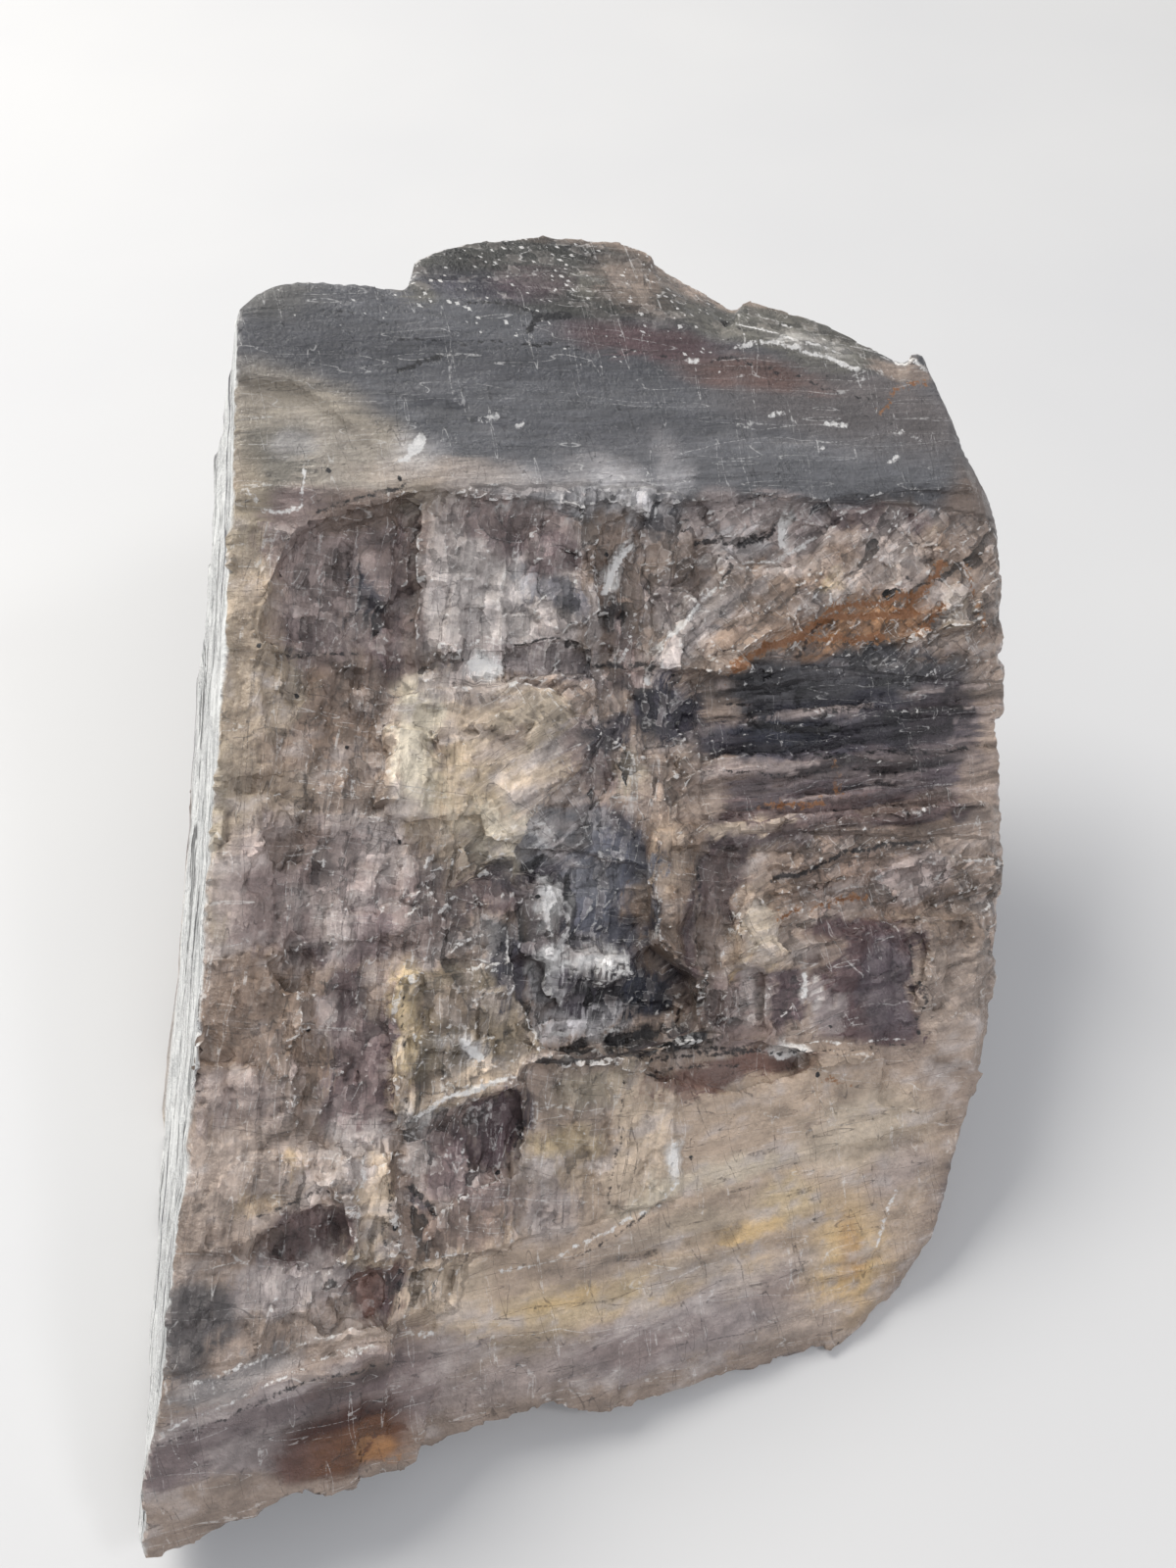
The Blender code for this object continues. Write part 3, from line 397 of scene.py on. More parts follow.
# Blocks between the slate band and the middle of the face.
MIDDLE_PATCHES = laid(
    ("ochre_strip", Tone.OCHRE, -25.4, 10, 2.8, 15.5, -1, 0.35, 0.95),
    ("ochre_strip_top", Tone.TAN, -24.6, 21, 3.2, 3, 0, 0.5, 0.8),
    ("ochre_strip_low", Tone.TAN, -26, -2, 2, 6, 0, 0.5, 0.8),
    ("speckled_block", Tone.MAUVE, -18.6, 17.4, 5.2, 7, 0, 0.25, 0.95, True),
    ("speckled_pale", Tone.PINK_GREY, -18.2, 17, 4.2, 4.6, 0, 0.8, 0.52),
    ("speckled_low", Tone.MAUVE_DARK, -20.4, 13.2, 2.6, 2, 6, 0.4, 0.45),
    ("speckled_brown_top", Tone.BROWN, -17, 23.4, 3.6, 1.2, 16, 0.4, 0.8),
    ("pit_upper", Tone.BLUE_BLACK, -15.8, 16.4, 0.8, 2.2, 2, 0.35, 0.9),
    ("pit_lower", Tone.BROWN_DARK, -15.4, 11.6, 0.9, 1.9, 0, 0.35, 0.9),
    ("groove", Tone.BROWN_DARK, -13.2, 17.2, 1.4, 7.4, 0, 0.25, 0.5, True),
    ("groove_light", Tone.MAUVE, -12.8, 18.5, 0.3, 5.4, 0, 0.3, 0.7, True),
    ("pink_block_field", Tone.PINK_PALE, -6, 18.6, 5.8, 6.4, 0, 0.2, 0.95, True),
    ("pink_block_brown_top", Tone.MAUVE, -5.4, 23.4, 5.2, 1.9, 0, 0.35, 0.9),
    ("pink_block_dark_right", Tone.MAUVE_DARK, -3, 21.4, 3.2, 1.7, -8, 0.4, 0.85),
    ("pink_block_dark_upper", Tone.MAUVE_DARK, -6.6, 23, 1.4, 1, 0, 0.4, 0.6),
    ("blue_diagonal", Tone.STEEL, -2.2, 18.3, 3.4, 1.2, -22, 0.45, 0.8),
    ("pink_block_pale", Tone.PINK_PALE, -8.6, 16.4, 2.4, 2.8, 0, 0.5, 0.9),
    ("pink_block_corner", Tone.PINK_PALE, -10.2, 20.2, 1.2, 2.6, 0, 0.4, 0.6),
    ("pink_block_milk", Tone.POWDER_AND_HIGHLIGHT, -7.4, 17.2, 4.2, 4.2, 0, 0.6, 0.18),
    ("blue_shelf", Tone.LILAC, -4.6, 13.4, 6.6, 1.3, -2, 0.4, 0.9),
    ("shelf_dark_right", Tone.STRIATED, 2.6, 12.8, 3.2, 1.2, -6, 0.5, 0.8),
    ("shelf_glint", Tone.POWDER_AND_HIGHLIGHT, -7.4, 12.4, 1.5, 1.1, -18, 0.6, 0.95),
    ("gap_dark", Tone.BROWN, 3, 18.6, 2.3, 6.4, 0, 0.3, 0.95, True),
    ("gap_brown_top", Tone.TAUPE, 2.4, 23.8, 2.4, 1.4, 0, 0.4, 0.7),
    ("gap_strip", Tone.PINK_PALE, 1.3, 16.4, 0.5, 3.4, 2, 0.3, 0.85, True),
    ("gap_strip_right", Tone.MAUVE, 4.4, 14.6, 0.8, 2.4, 6, 0.3, 0.8, True),
    ("gap_pocket", Tone.BLACK, 3.2, 17.8, 1.1, 0.9, 20, 0.4, 0.9),
    ("leaf_flake", Tone.POWDER_AND_HIGHLIGHT, 3.1, 20.6, 0.5, 1.4, -24, 0.45, 0.9),
    ("leaf_flake_upper", Tone.POWDER_AND_HIGHLIGHT, 4.2, 22.6, 0.25, 1.3, -12, 0.4, 0.7),
    ("brown_block", Tone.TAUPE, 8.4, 20.6, 3.6, 4, -20, 0.25, 0.95, True),
    ("brown_block_dark", Tone.BROWN, 9.6, 21.8, 1.8, 1.8, -30, 0.35, 0.85),
    ("brown_block_top", Tone.SLATE_DARK, 6.6, 25, 1.7, 1.4, 0, 0.4, 0.9),
    ("brown_block_corner", Tone.LILAC, 7.4, 18.6, 1.5, 2.2, -14, 0.4, 0.7),
    ("swirl_field", Tone.PINK_GREY, 17, 24.6, 7, 3, 2, 0.3, 0.75),
    ("swirl_plate", Tone.MILK, 13, 24, 2.6, 0.9, 6, 0.4, 0.7),
    ("swirl_ledge_light", Tone.PINK_PALE, 13.4, 22.6, 3.4, 0.7, 14, 0.4, 0.75),
    ("swirl_grey_right", Tone.LILAC, 20, 25.6, 2.4, 1.2, 20, 0.5, 0.6),
    ("swirl_crescent", Tone.POWDER_AND_HIGHLIGHT, 17, 25.3, 0.35, 1.1, 6, 0.35, 0.95),
    ("wedge_field", Tone.TAN_BROWN, 14.6, 19.6, 6.4, 2.6, 38, 0.35, 0.9),
    ("white_wedge", Tone.PINK_PALE, 9, 17, 4.8, 1.5, 44, 0.4, 0.9),
    ("white_wedge_foot", Tone.PINK_PALE, 6.8, 14.2, 1, 2, 12, 0.4, 0.9),
    ("wedge_streak", Tone.PINK_PALE, 14.4, 20.6, 4.4, 0.5, 42, 0.5, 0.6),
    ("upper_right_field", Tone.TAN_BROWN, 25.6, 23.4, 7, 4.4, 26, 0.3, 0.9),
    ("upper_right_dark", Tone.BROWN_DARK, 25.6, 27, 4.6, 1, 6, 0.4, 0.8),
    ("upper_right_beige", Tone.BEIGE_PINK, 22, 21.4, 2.8, 1, 44, 0.5, 0.7),
    ("upper_right_yellow", Tone.CREAM_YELLOW, 20.8, 20.8, 1.4, 0.8, 40, 0.5, 0.6),
    ("upper_right_streak", Tone.BEIGE, 28.6, 25, 3.6, 0.5, 44, 0.5, 0.6),
    ("upright_pale", Tone.PINK_PALE, 27, 24, 3.6, 3.2, 0, 0.6, 0.45),
    ("rust_field", Tone.ORANGE, 23.5, 18, 7.6, 1.9, 14, 0.5, 0.75),
    ("rim_grey_upper", Tone.TAUPE, 34.6, 21, 1.6, 6, 0, 0.4, 0.7),
    ("rim_tan", Tone.TAN, 32.6, 20.6, 1, 2.2, -14, 0.5, 0.6),
    ("layered_upper", Tone.SLATE_DARK, 23, 13.6, 12, 2.6, 6, 0.4, 0.95),
    ("layered_dark", Tone.CHARCOAL, 22, 9.6, 13.5, 2.6, 7, 0.3, 0.95),
    ("layered_black", Tone.BLUE_BLACK, 17, 9.4, 4.6, 1.5, 2, 0.5, 0.8),
    ("layered_right", Tone.STRIATED, 32, 10, 3.4, 5, 0, 0.4, 0.8),
    ("layered_lower", Tone.STRIATED, 22, 5.6, 13.5, 2, 6, 0.4, 0.85),
    ("layered_foot", Tone.STRIATED, 21.5, 2.6, 14, 2, 6, 0.4, 0.75),
    ("layered_foot_brown", Tone.BROWN_DARK, 21.5, 2.6, 12, 1.6, 6, 0.5, 0.5),
    ("layered_foot_warm", Tone.RED_BROWN, 22, 2.8, 11, 1.3, 6, 0.6, 0.3),
    ("layered_cream_line", Tone.CREAM, 12.6, 1.3, 5.6, 0.4, 10, 0.4, 0.7),
    ("charcoal_corner", Tone.CHARCOAL, 7.4, 10.4, 3, 2.6, 8, 0.3, 0.97),
    ("charcoal_cubes", Tone.TAUPE, 11.8, 10.6, 1.3, 1.1, 0, 0.3, 0.5, True),
    ("tan_small_block", Tone.TAN, 4.6, 5.2, 1.4, 1.4, 0, 0.3, 0.7, True),
    ("grey_step_field", Tone.TAUPE, 8.6, 3.6, 4.2, 2, 6, 0.4, 0.85),
    ("grey_step_dark", Tone.BROWN, 11, 5.2, 4, 0.9, 8, 0.5, 0.7),
    ("cream_block", Tone.CREAM, -7.6, 5.2, 7.2, 6, 0, 0.22, 0.9, True),
    ("cream_block_column", Tone.CREAM_PALE, -12.6, 6.4, 1.7, 5, 0, 0.25, 1, True),
    ("cream_block_yellow", Tone.CREAM_YELLOW, -9.4, 4.2, 2.6, 2.6, 0, 0.6, 0.5),
    ("cream_block_shade", Tone.TAN, -3.6, 8.2, 3.4, 2.2, 12, 0.6, 0.6),
    ("cream_block_pink_run", Tone.PINK_PALE, -2, 6.6, 4.4, 0.9, 34, 0.6, 0.8),
    ("cream_block_brown_run", Tone.BEIGE_PINK, -6.4, 6.2, 2.4, 0.8, 34, 0.6, 0.8),
    ("cream_block_shade_low", Tone.BEIGE_PINK, -4.4, 1.6, 3.2, 1.2, 34, 0.6, 0.7),
    ("cream_block_grey_top", Tone.LILAC, -9.4, 10.2, 3.4, 1.3, 0, 0.5, 0.6),
    ("cream_block_foot", Tone.CREAM_PALE, -7, -0.6, 3.4, 3, 0, 0.4, 0.85),
    ("cream_notch", Tone.BROWN, -10.8, 6.2, 0.7, 1, 0, 0.4, 0.8),
    ("cream_brown_corner", Tone.OLIVE, -13.4, 1.2, 0.9, 1.3, 0, 0.4, 0.7),
    ("crook_grey", Tone.MAUVE, 1, 6.4, 2.4, 3, 40, 0.4, 0.9),
    ("crook_dark", Tone.CHARCOAL, 2.4, 8.2, 2.4, 1.1, 40, 0.4, 0.9),
    ("crook_low", Tone.TAUPE, -0.6, 3, 2.4, 1.2, 30, 0.4, 0.8),
)

# The left side of the face below the speckled block, down to the lower-left ledge.
LEFT_PATCHES = laid(
    ("left_middle", Tone.TAN_BROWN, -19.4, 5, 4.8, 7, 0, 0.4, 0.9),
    ("left_middle_brown", Tone.BROWN, -17, 10, 2.4, 2.6, 0, 0.5, 0.8),
    ("left_middle_tan", Tone.TAN, -22.6, 9.6, 1.8, 3.4, 0, 0.5, 0.8),
    ("left_middle_pink", Tone.BEIGE_PINK, -17.4, 3.2, 2.6, 2.6, 0, 0.4, 0.6),
    ("left_middle_cloud", Tone.TAN, -21.4, 1.4, 2.2, 3, 10, 0.6, 0.6),
    ("left_beige_column", Tone.BEIGE, -24, 6, 2.6, 15, 3, 0.5, 0.45),
    ("left_middle_warm", Tone.TAN_BROWN, -19, 4, 3.8, 4.2, 0, 0.9, 0.4),
    ("left_pink_field", Tone.PINK_GREY, -19, -4.4, 7.6, 5.4, 0, 0.35, 0.9),
    ("left_mauve_block", Tone.MAUVE, -22.6, -6, 2.4, 3.2, 0, 0.3, 0.8, True),
    ("left_mauve_upper", Tone.TAN_BROWN, -20.8, -1.2, 2.6, 1.6, 20, 0.4, 0.7),
    ("left_pale_block", Tone.PINK_PALE, -17.6, -7.4, 1.8, 2, 0, 0.3, 0.8, True),
    ("left_pale_upper", Tone.PINK_PALE, -14.8, -1.6, 1.6, 2.4, 0, 0.4, 0.7),
    ("left_pink_shade", Tone.MAUVE, -19, -4.8, 6.6, 4.4, 0, 0.9, 0.35),
    ("left_dark_column", Tone.MAUVE_DARK, -15.8, -7, 1.1, 3, 0, 0.3, 0.8, True),
    ("left_notch", Tone.BROWN_DARK, -20.4, -9.2, 1.6, 0.9, 0, 0.4, 0.85),
    ("mid_mauve", Tone.MAUVE, -12, -6.2, 2.6, 3.4, 10, 0.35, 0.8),
    ("mid_beige", Tone.BEIGE, -8.8, -2.2, 1.4, 1.8, 0, 0.4, 0.7),
    ("mid_dark", Tone.MAUVE_DARK, -7.2, -4.4, 2.6, 1.7, 24, 0.35, 0.9),
    ("mid_charcoal", Tone.STRIATED, -6, -2.8, 1.4, 1.6, 0, 0.35, 0.8),
    ("mid_streak", Tone.PINK_PALE, -9.6, -8.6, 3.4, 0.7, 30, 0.5, 0.7),
    ("mid_grey_block", Tone.SLATE_PALE, -6.4, -8.6, 1, 1.6, -6, 0.3, 0.8, True),
    ("low_left_rough", Tone.TAN_BROWN, -22.6, -15, 4.6, 6, 0, 0.35, 0.9),
    ("low_left_pink", Tone.PINK_GREY, -24.2, -19.4, 3.2, 2.6, 0, 0.5, 0.7),
    ("low_left_crumbs", Tone.BROWN_DARK, -17.2, -12, 1.5, 2, 0, 0.4, 0.85),
    ("low_left_step", Tone.PINK_GREY, -18.4, -13.6, 1, 1.8, 0, 0.3, 0.7, True),
    ("low_left_column", Tone.MAUVE_DARK, -16.2, -17, 2.4, 4.2, -4, 0.3, 0.9, True),
    ("low_left_column_edge", Tone.BROWN_DARK, -14.2, -17.6, 0.6, 3.6, 0, 0.4, 0.8),
    ("low_left_pink_block", Tone.PINK_PALE, -16, -21.4, 2.2, 1.4, -10, 0.35, 0.8),
    ("olive_block", Tone.OLIVE, -8.8, -13.6, 4.6, 3.4, 4, 0.2, 0.95, True),
    ("olive_block_edge", Tone.CREAM_YELLOW, -13, -13.6, 0.8, 4, 2, 0.4, 0.9, True),
    ("olive_block_dark", Tone.BROWN, -9.4, -12.6, 2, 1.6, 0, 0.5, 0.5),
    ("olive_block_shine", Tone.MILK, -8.4, -15.4, 1.5, 0.8, -30, 0.5, 0.6),
    ("olive_ledge", Tone.CREAM, -9.4, -18, 4.8, 1, 18, 0.4, 0.9),
    ("olive_ledge_white", Tone.POWDER_AND_HIGHLIGHT, -11.6, -20, 1.8, 0.6, 24, 0.5, 0.7),
    ("low_mid_field", Tone.TAN_BROWN, -9, -25, 5.2, 5.2, 0, 0.3, 0.8),
    ("low_mid_dark", Tone.MAUVE, -8.2, -22, 3.6, 2.6, -8, 0.35, 0.8),
    ("low_mid_shade", Tone.MAUVE_DARK, -9, -26.4, 4, 3.6, 0, 0.9, 0.35),
    ("pocket_right", Tone.BROWN_DARK, -6, -21, 1.5, 2.4, -4, 0.3, 0.95, True),
    ("pocket_left", Tone.MAUVE_DARK, -9.2, -23.6, 1.4, 2.4, 4, 0.3, 0.9, True),
    ("pocket_left_brown", Tone.BROWN_DARK, -8.6, -22, 0.7, 1.2, 0, 0.4, 0.7),
    ("step_grey", Tone.MAUVE, -6.2, -25.4, 1.6, 1.8, 0, 0.3, 0.8, True),
    ("step_pink", Tone.PINK_PALE, -11.6, -22.8, 1, 1.6, 0, 0.3, 0.7, True),
    ("small_black_chip", Tone.CHARCOAL, -11.6, -26.2, 0.9, 0.6, -40, 0.4, 0.8),
    ("taupe_field", Tone.BEIGE_PINK, -22.8, -24, 5, 3.6, 0, 0.4, 0.85),
    ("ochre_spot", Tone.YELLOW, -20.6, -23, 0.7, 0.8, 0, 0.6, 0.4),
    ("ochre_smear", Tone.YELLOW, -23, -25.6, 1.5, 0.8, 0, 0.7, 0.3),
    ("dark_wedge", Tone.PURPLE_BROWN, -19, -28, 4.2, 1.7, 12, 0.3, 0.8),
    ("dark_wedge_tail", Tone.BROWN, -23.6, -28.6, 2.6, 0.9, 10, 0.5, 0.7),
    ("pale_blade", Tone.CREAM, -15, -26.6, 1.3, 4.2, 0, 0.25, 0.95, True),
    ("pale_blade_top", Tone.PINK_PALE, -16.6, -23.4, 0.9, 1, 0, 0.3, 0.8, True),
    ("pale_blade_stain", Tone.TAN_BROWN, -14.2, -28.6, 0.5, 1.2, 0, 0.4, 0.7),
    ("lilac_shelf", Tone.LILAC, -20, -31.4, 4.6, 1.8, 4, 0.35, 0.9),
    ("lilac_shelf_beige", Tone.BEIGE_PINK, -18, -33.4, 2.8, 1.4, 6, 0.5, 0.7),
    ("lilac_shelf_pale", Tone.PINK_PALE, -20, -32, 3.8, 1.4, 4, 0.6, 0.45),
    ("brown_notch", Tone.RED_BROWN, -14.4, -32.4, 1.8, 1.7, 4, 0.25, 0.95, True),
    ("brown_notch_dark", Tone.BROWN_DARK, -13.4, -32.8, 0.6, 1.4, 0, 0.4, 0.8),
    ("dark_corner", Tone.SLATE_DARK, -26.6, -33.8, 3, 3.2, 0, 0.4, 0.8),
    ("dark_corner_run", Tone.TAUPE, -21.6, -35.4, 4.2, 1.6, 6, 0.5, 0.9),
    ("corner_pale_streaks", Tone.SLATE_PALE, -24, -37, 4.4, 0.9, 16, 0.5, 0.7),
    ("orange_vein_field", Tone.BEIGE_PINK, -15.4, -35, 2.6, 1.2, 0, 0.5, 0.7),
    ("undercut", Tone.LILAC, -20, -40.6, 11.5, 3.4, 11, 0.35, 0.95),
    ("undercut_brown", Tone.MAUVE, -14, -38.8, 4.4, 3, 0, 0.5, 0.8),
    ("undercut_dark_lip", Tone.BROWN, -16.4, -37.8, 3.4, 0.8, 16, 0.5, 0.8),
    ("undercut_shade", Tone.BROWN_DARK, -20.5, -39.2, 8.4, 0.9, 13, 0.6, 0.6),
    ("corner_purple", Tone.MAUVE_DARK, -27.4, -42.4, 3, 1.5, 14, 0.6, 0.7),
    ("corner_taupe", Tone.TAUPE, -26.4, -46.8, 5.4, 3, 12, 0.4, 0.9),
    ("rust_stain", Tone.RUST_BROWN, -16.4, -42.2, 4.8, 2.8, 12, 0.55),
    ("rust_stain_warm", Tone.RUST, -15, -42.8, 4.4, 2, 12, 0.6, 0.5),
    ("rust_stain_bright", Tone.ORANGE, -13.6, -43, 1.6, 1.2, 20, 0.6),
    ("rust_stain_tail", Tone.RED_BROWN, -19.4, -43.4, 1.6, 1.6, 0, 0.6, 0.6),
)

# The hollow, the blades beside it, the blocks at the right and the deep crack under them.
HOLLOW_PATCHES = laid(
    ("hollow", Tone.CHARCOAL, 1.4, -5.8, 6.2, 8.6, 0, 0.22, 0.9),
    ("hollow_blue", Tone.STEEL, 2.6, -2.8, 3.2, 3.8, 0, 0.5),
    ("hollow_blue_pale", Tone.SLATE_PALE, 2, -3, 2.4, 2.6, 0, 0.6, 0.5),
    ("hollow_head", Tone.SLATE_PALE, -1.4, 0.6, 3.6, 1.8, 10, 0.5, 0.9),
    ("hollow_head_white", Tone.POWDER_AND_HIGHLIGHT, -2.6, 0.8, 0.9, 0.8, 0, 0.4, 0.7),
    ("hollow_blade_left", Tone.LILAC, -2.8, -6, 1.9, 3.2, -4, 0.3, 0.9, True),
    ("hollow_blade_white", Tone.POWDER_AND_HIGHLIGHT, -1.8, -5, 0.9, 2.2, -6, 0.35, 0.85, True),
    ("hollow_plate", Tone.STEEL, 2, -6.4, 2.6, 1.9, 4, 0.35, 0.8, True),
    ("hollow_crumbs", Tone.POWDER_AND_HIGHLIGHT, 0.6, -9.4, 3.6, 1.3, 0, 0.4, 0.8),
    ("hollow_crumb_left", Tone.MILK, -1.8, -11.6, 1.2, 1.3, 0, 0.3, 0.85, True),
    ("hollow_black", Tone.BLACK, 3.4, -11.6, 3.2, 1.7, -10, 0.4, 0.9),
    ("hollow_blue_right", Tone.BLUE_BLACK, 6.4, -11.6, 2, 2.2, 20, 0.4, 0.95),
    ("hollow_foot", Tone.MILK, 0.6, -14, 4.2, 1.1, 6, 0.4, 0.8),
    ("hollow_left_dark", Tone.CHARCOAL, -5, -10.4, 1.3, 2.8, 10, 0.4, 0.9),
    ("leaning_blades", Tone.TAN_BROWN, 7.4, -3.8, 1.9, 6.2, -4, 0.2, 0.95, True),
    ("leaning_blade_light", Tone.BEIGE, 6.6, -1.6, 0.8, 3.4, -8, 0.35, 0.85, True),
    ("leaning_blade_dark", Tone.BROWN_DARK, 8.6, -7.4, 0.6, 3.6, -6, 0.4, 0.85),
    ("brown_tall_block", Tone.BROWN_DARK, 11.6, -3, 1.9, 3.4, 0, 0.2, 0.95, True),
    ("brown_tall_warm", Tone.BROWN, 11.6, -3, 1.6, 2.8, 0, 0.5, 0.35),
    ("brown_tall_foot", Tone.BROWN, 10.4, -8.2, 1.3, 2.6, 0, 0.35, 0.9, True),
    ("tan_block", Tone.BEIGE, 14.8, -6.6, 2.3, 3.4, -4, 0.25, 0.95, True),
    ("tan_block_top", Tone.BEIGE_PINK, 14, -5.2, 1.4, 1.4, 0, 0.4, 0.7),
    ("tan_block_light", Tone.CREAM_PALE, 14.8, -6.9, 1.6, 2.2, -4, 0.5, 0.45),
    ("tan_block_yellow", Tone.YELLOW, 14.2, -9.7, 1.7, 0.5, 10, 0.5, 0.75),
    ("right_field", Tone.TAN_BROWN, 22.6, -3.2, 7.6, 3.2, 8, 0.35, 0.9),
    ("right_field_dark", Tone.BROWN, 22, 0.2, 7.4, 1, 8, 0.5, 0.8),
    ("right_field_orange", Tone.BEIGE_PINK, 20, -5.4, 4.6, 0.7, 12, 0.6, 0.8),
    ("right_field_pale", Tone.PINK_GREY, 28.2, -1.8, 2.8, 1.8, 16, 0.4, 0.8),
    ("right_rim_dark", Tone.BROWN, 32.4, -2.8, 2.6, 1, 14, 0.5, 0.8),
    ("right_rim_upper", Tone.TAUPE, 34, 3, 1.8, 5, 0, 0.5, 0.6),
    ("purple_block", Tone.PURPLE_BROWN, 23, -10.4, 4.6, 4.8, 0, 0.14, 0.97, True),
    ("purple_block_cool", Tone.STEEL, 24.6, -11.2, 2.6, 3.2, 0, 0.6, 0.35),
    ("purple_block_left", Tone.LILAC, 19.6, -13, 1.5, 1.9, 0, 0.3, 0.8, True),
    ("purple_block_brown", Tone.TAUPE, 19.2, -8.2, 2, 1.4, 16, 0.5, 0.7),
    ("mauve_block", Tone.MAUVE, 13.2, -13.2, 3, 2.8, 0, 0.3, 0.9, True),
    ("mauve_block_light", Tone.PINK_PALE, 13.8, -11.2, 0.8, 1.8, -8, 0.35, 0.7),
    ("mauve_dark_block", Tone.BROWN_DARK, 16.4, -12, 1.2, 1.8, -6, 0.25, 0.95, True),
    ("mauve_white_edge", Tone.POWDER_AND_HIGHLIGHT, 17.9, -11.4, 0.3, 1.5, -10, 0.4, 0.6),
    ("crack_white_chips", Tone.POWDER_AND_HIGHLIGHT, 16.8, -16, 1.2, 0.5, -6, 0.5, 0.7),
    ("beige_right_block", Tone.TAUPE, 31, -10.6, 3.6, 5.6, 0, 0.12, 0.97, True),
    ("beige_right_warm", Tone.BEIGE_PINK, 31, -10.8, 3.2, 4.8, 0, 0.4, 0.6),
    ("beige_right_brown", Tone.TAN_BROWN, 30.4, -6.6, 2.8, 1.6, 0, 0.5, 0.7),
    ("deep_crack_lens", Tone.BLACK, 6.2, -15.3, 4.6, 0.7, 8, 0.4, 0.95),
    ("red_slab", Tone.RED_BROWN, 11.6, -17.5, 6.6, 1, 7, 0.35, 0.95),
    ("red_slab_light", Tone.TAN_BROWN, 7, -17.2, 2.8, 0.6, 10, 0.5, 0.7),
    ("right_field_shade", Tone.BROWN_DARK, 23, -3, 5, 2.6, 4, 0.9, 0.25),
)

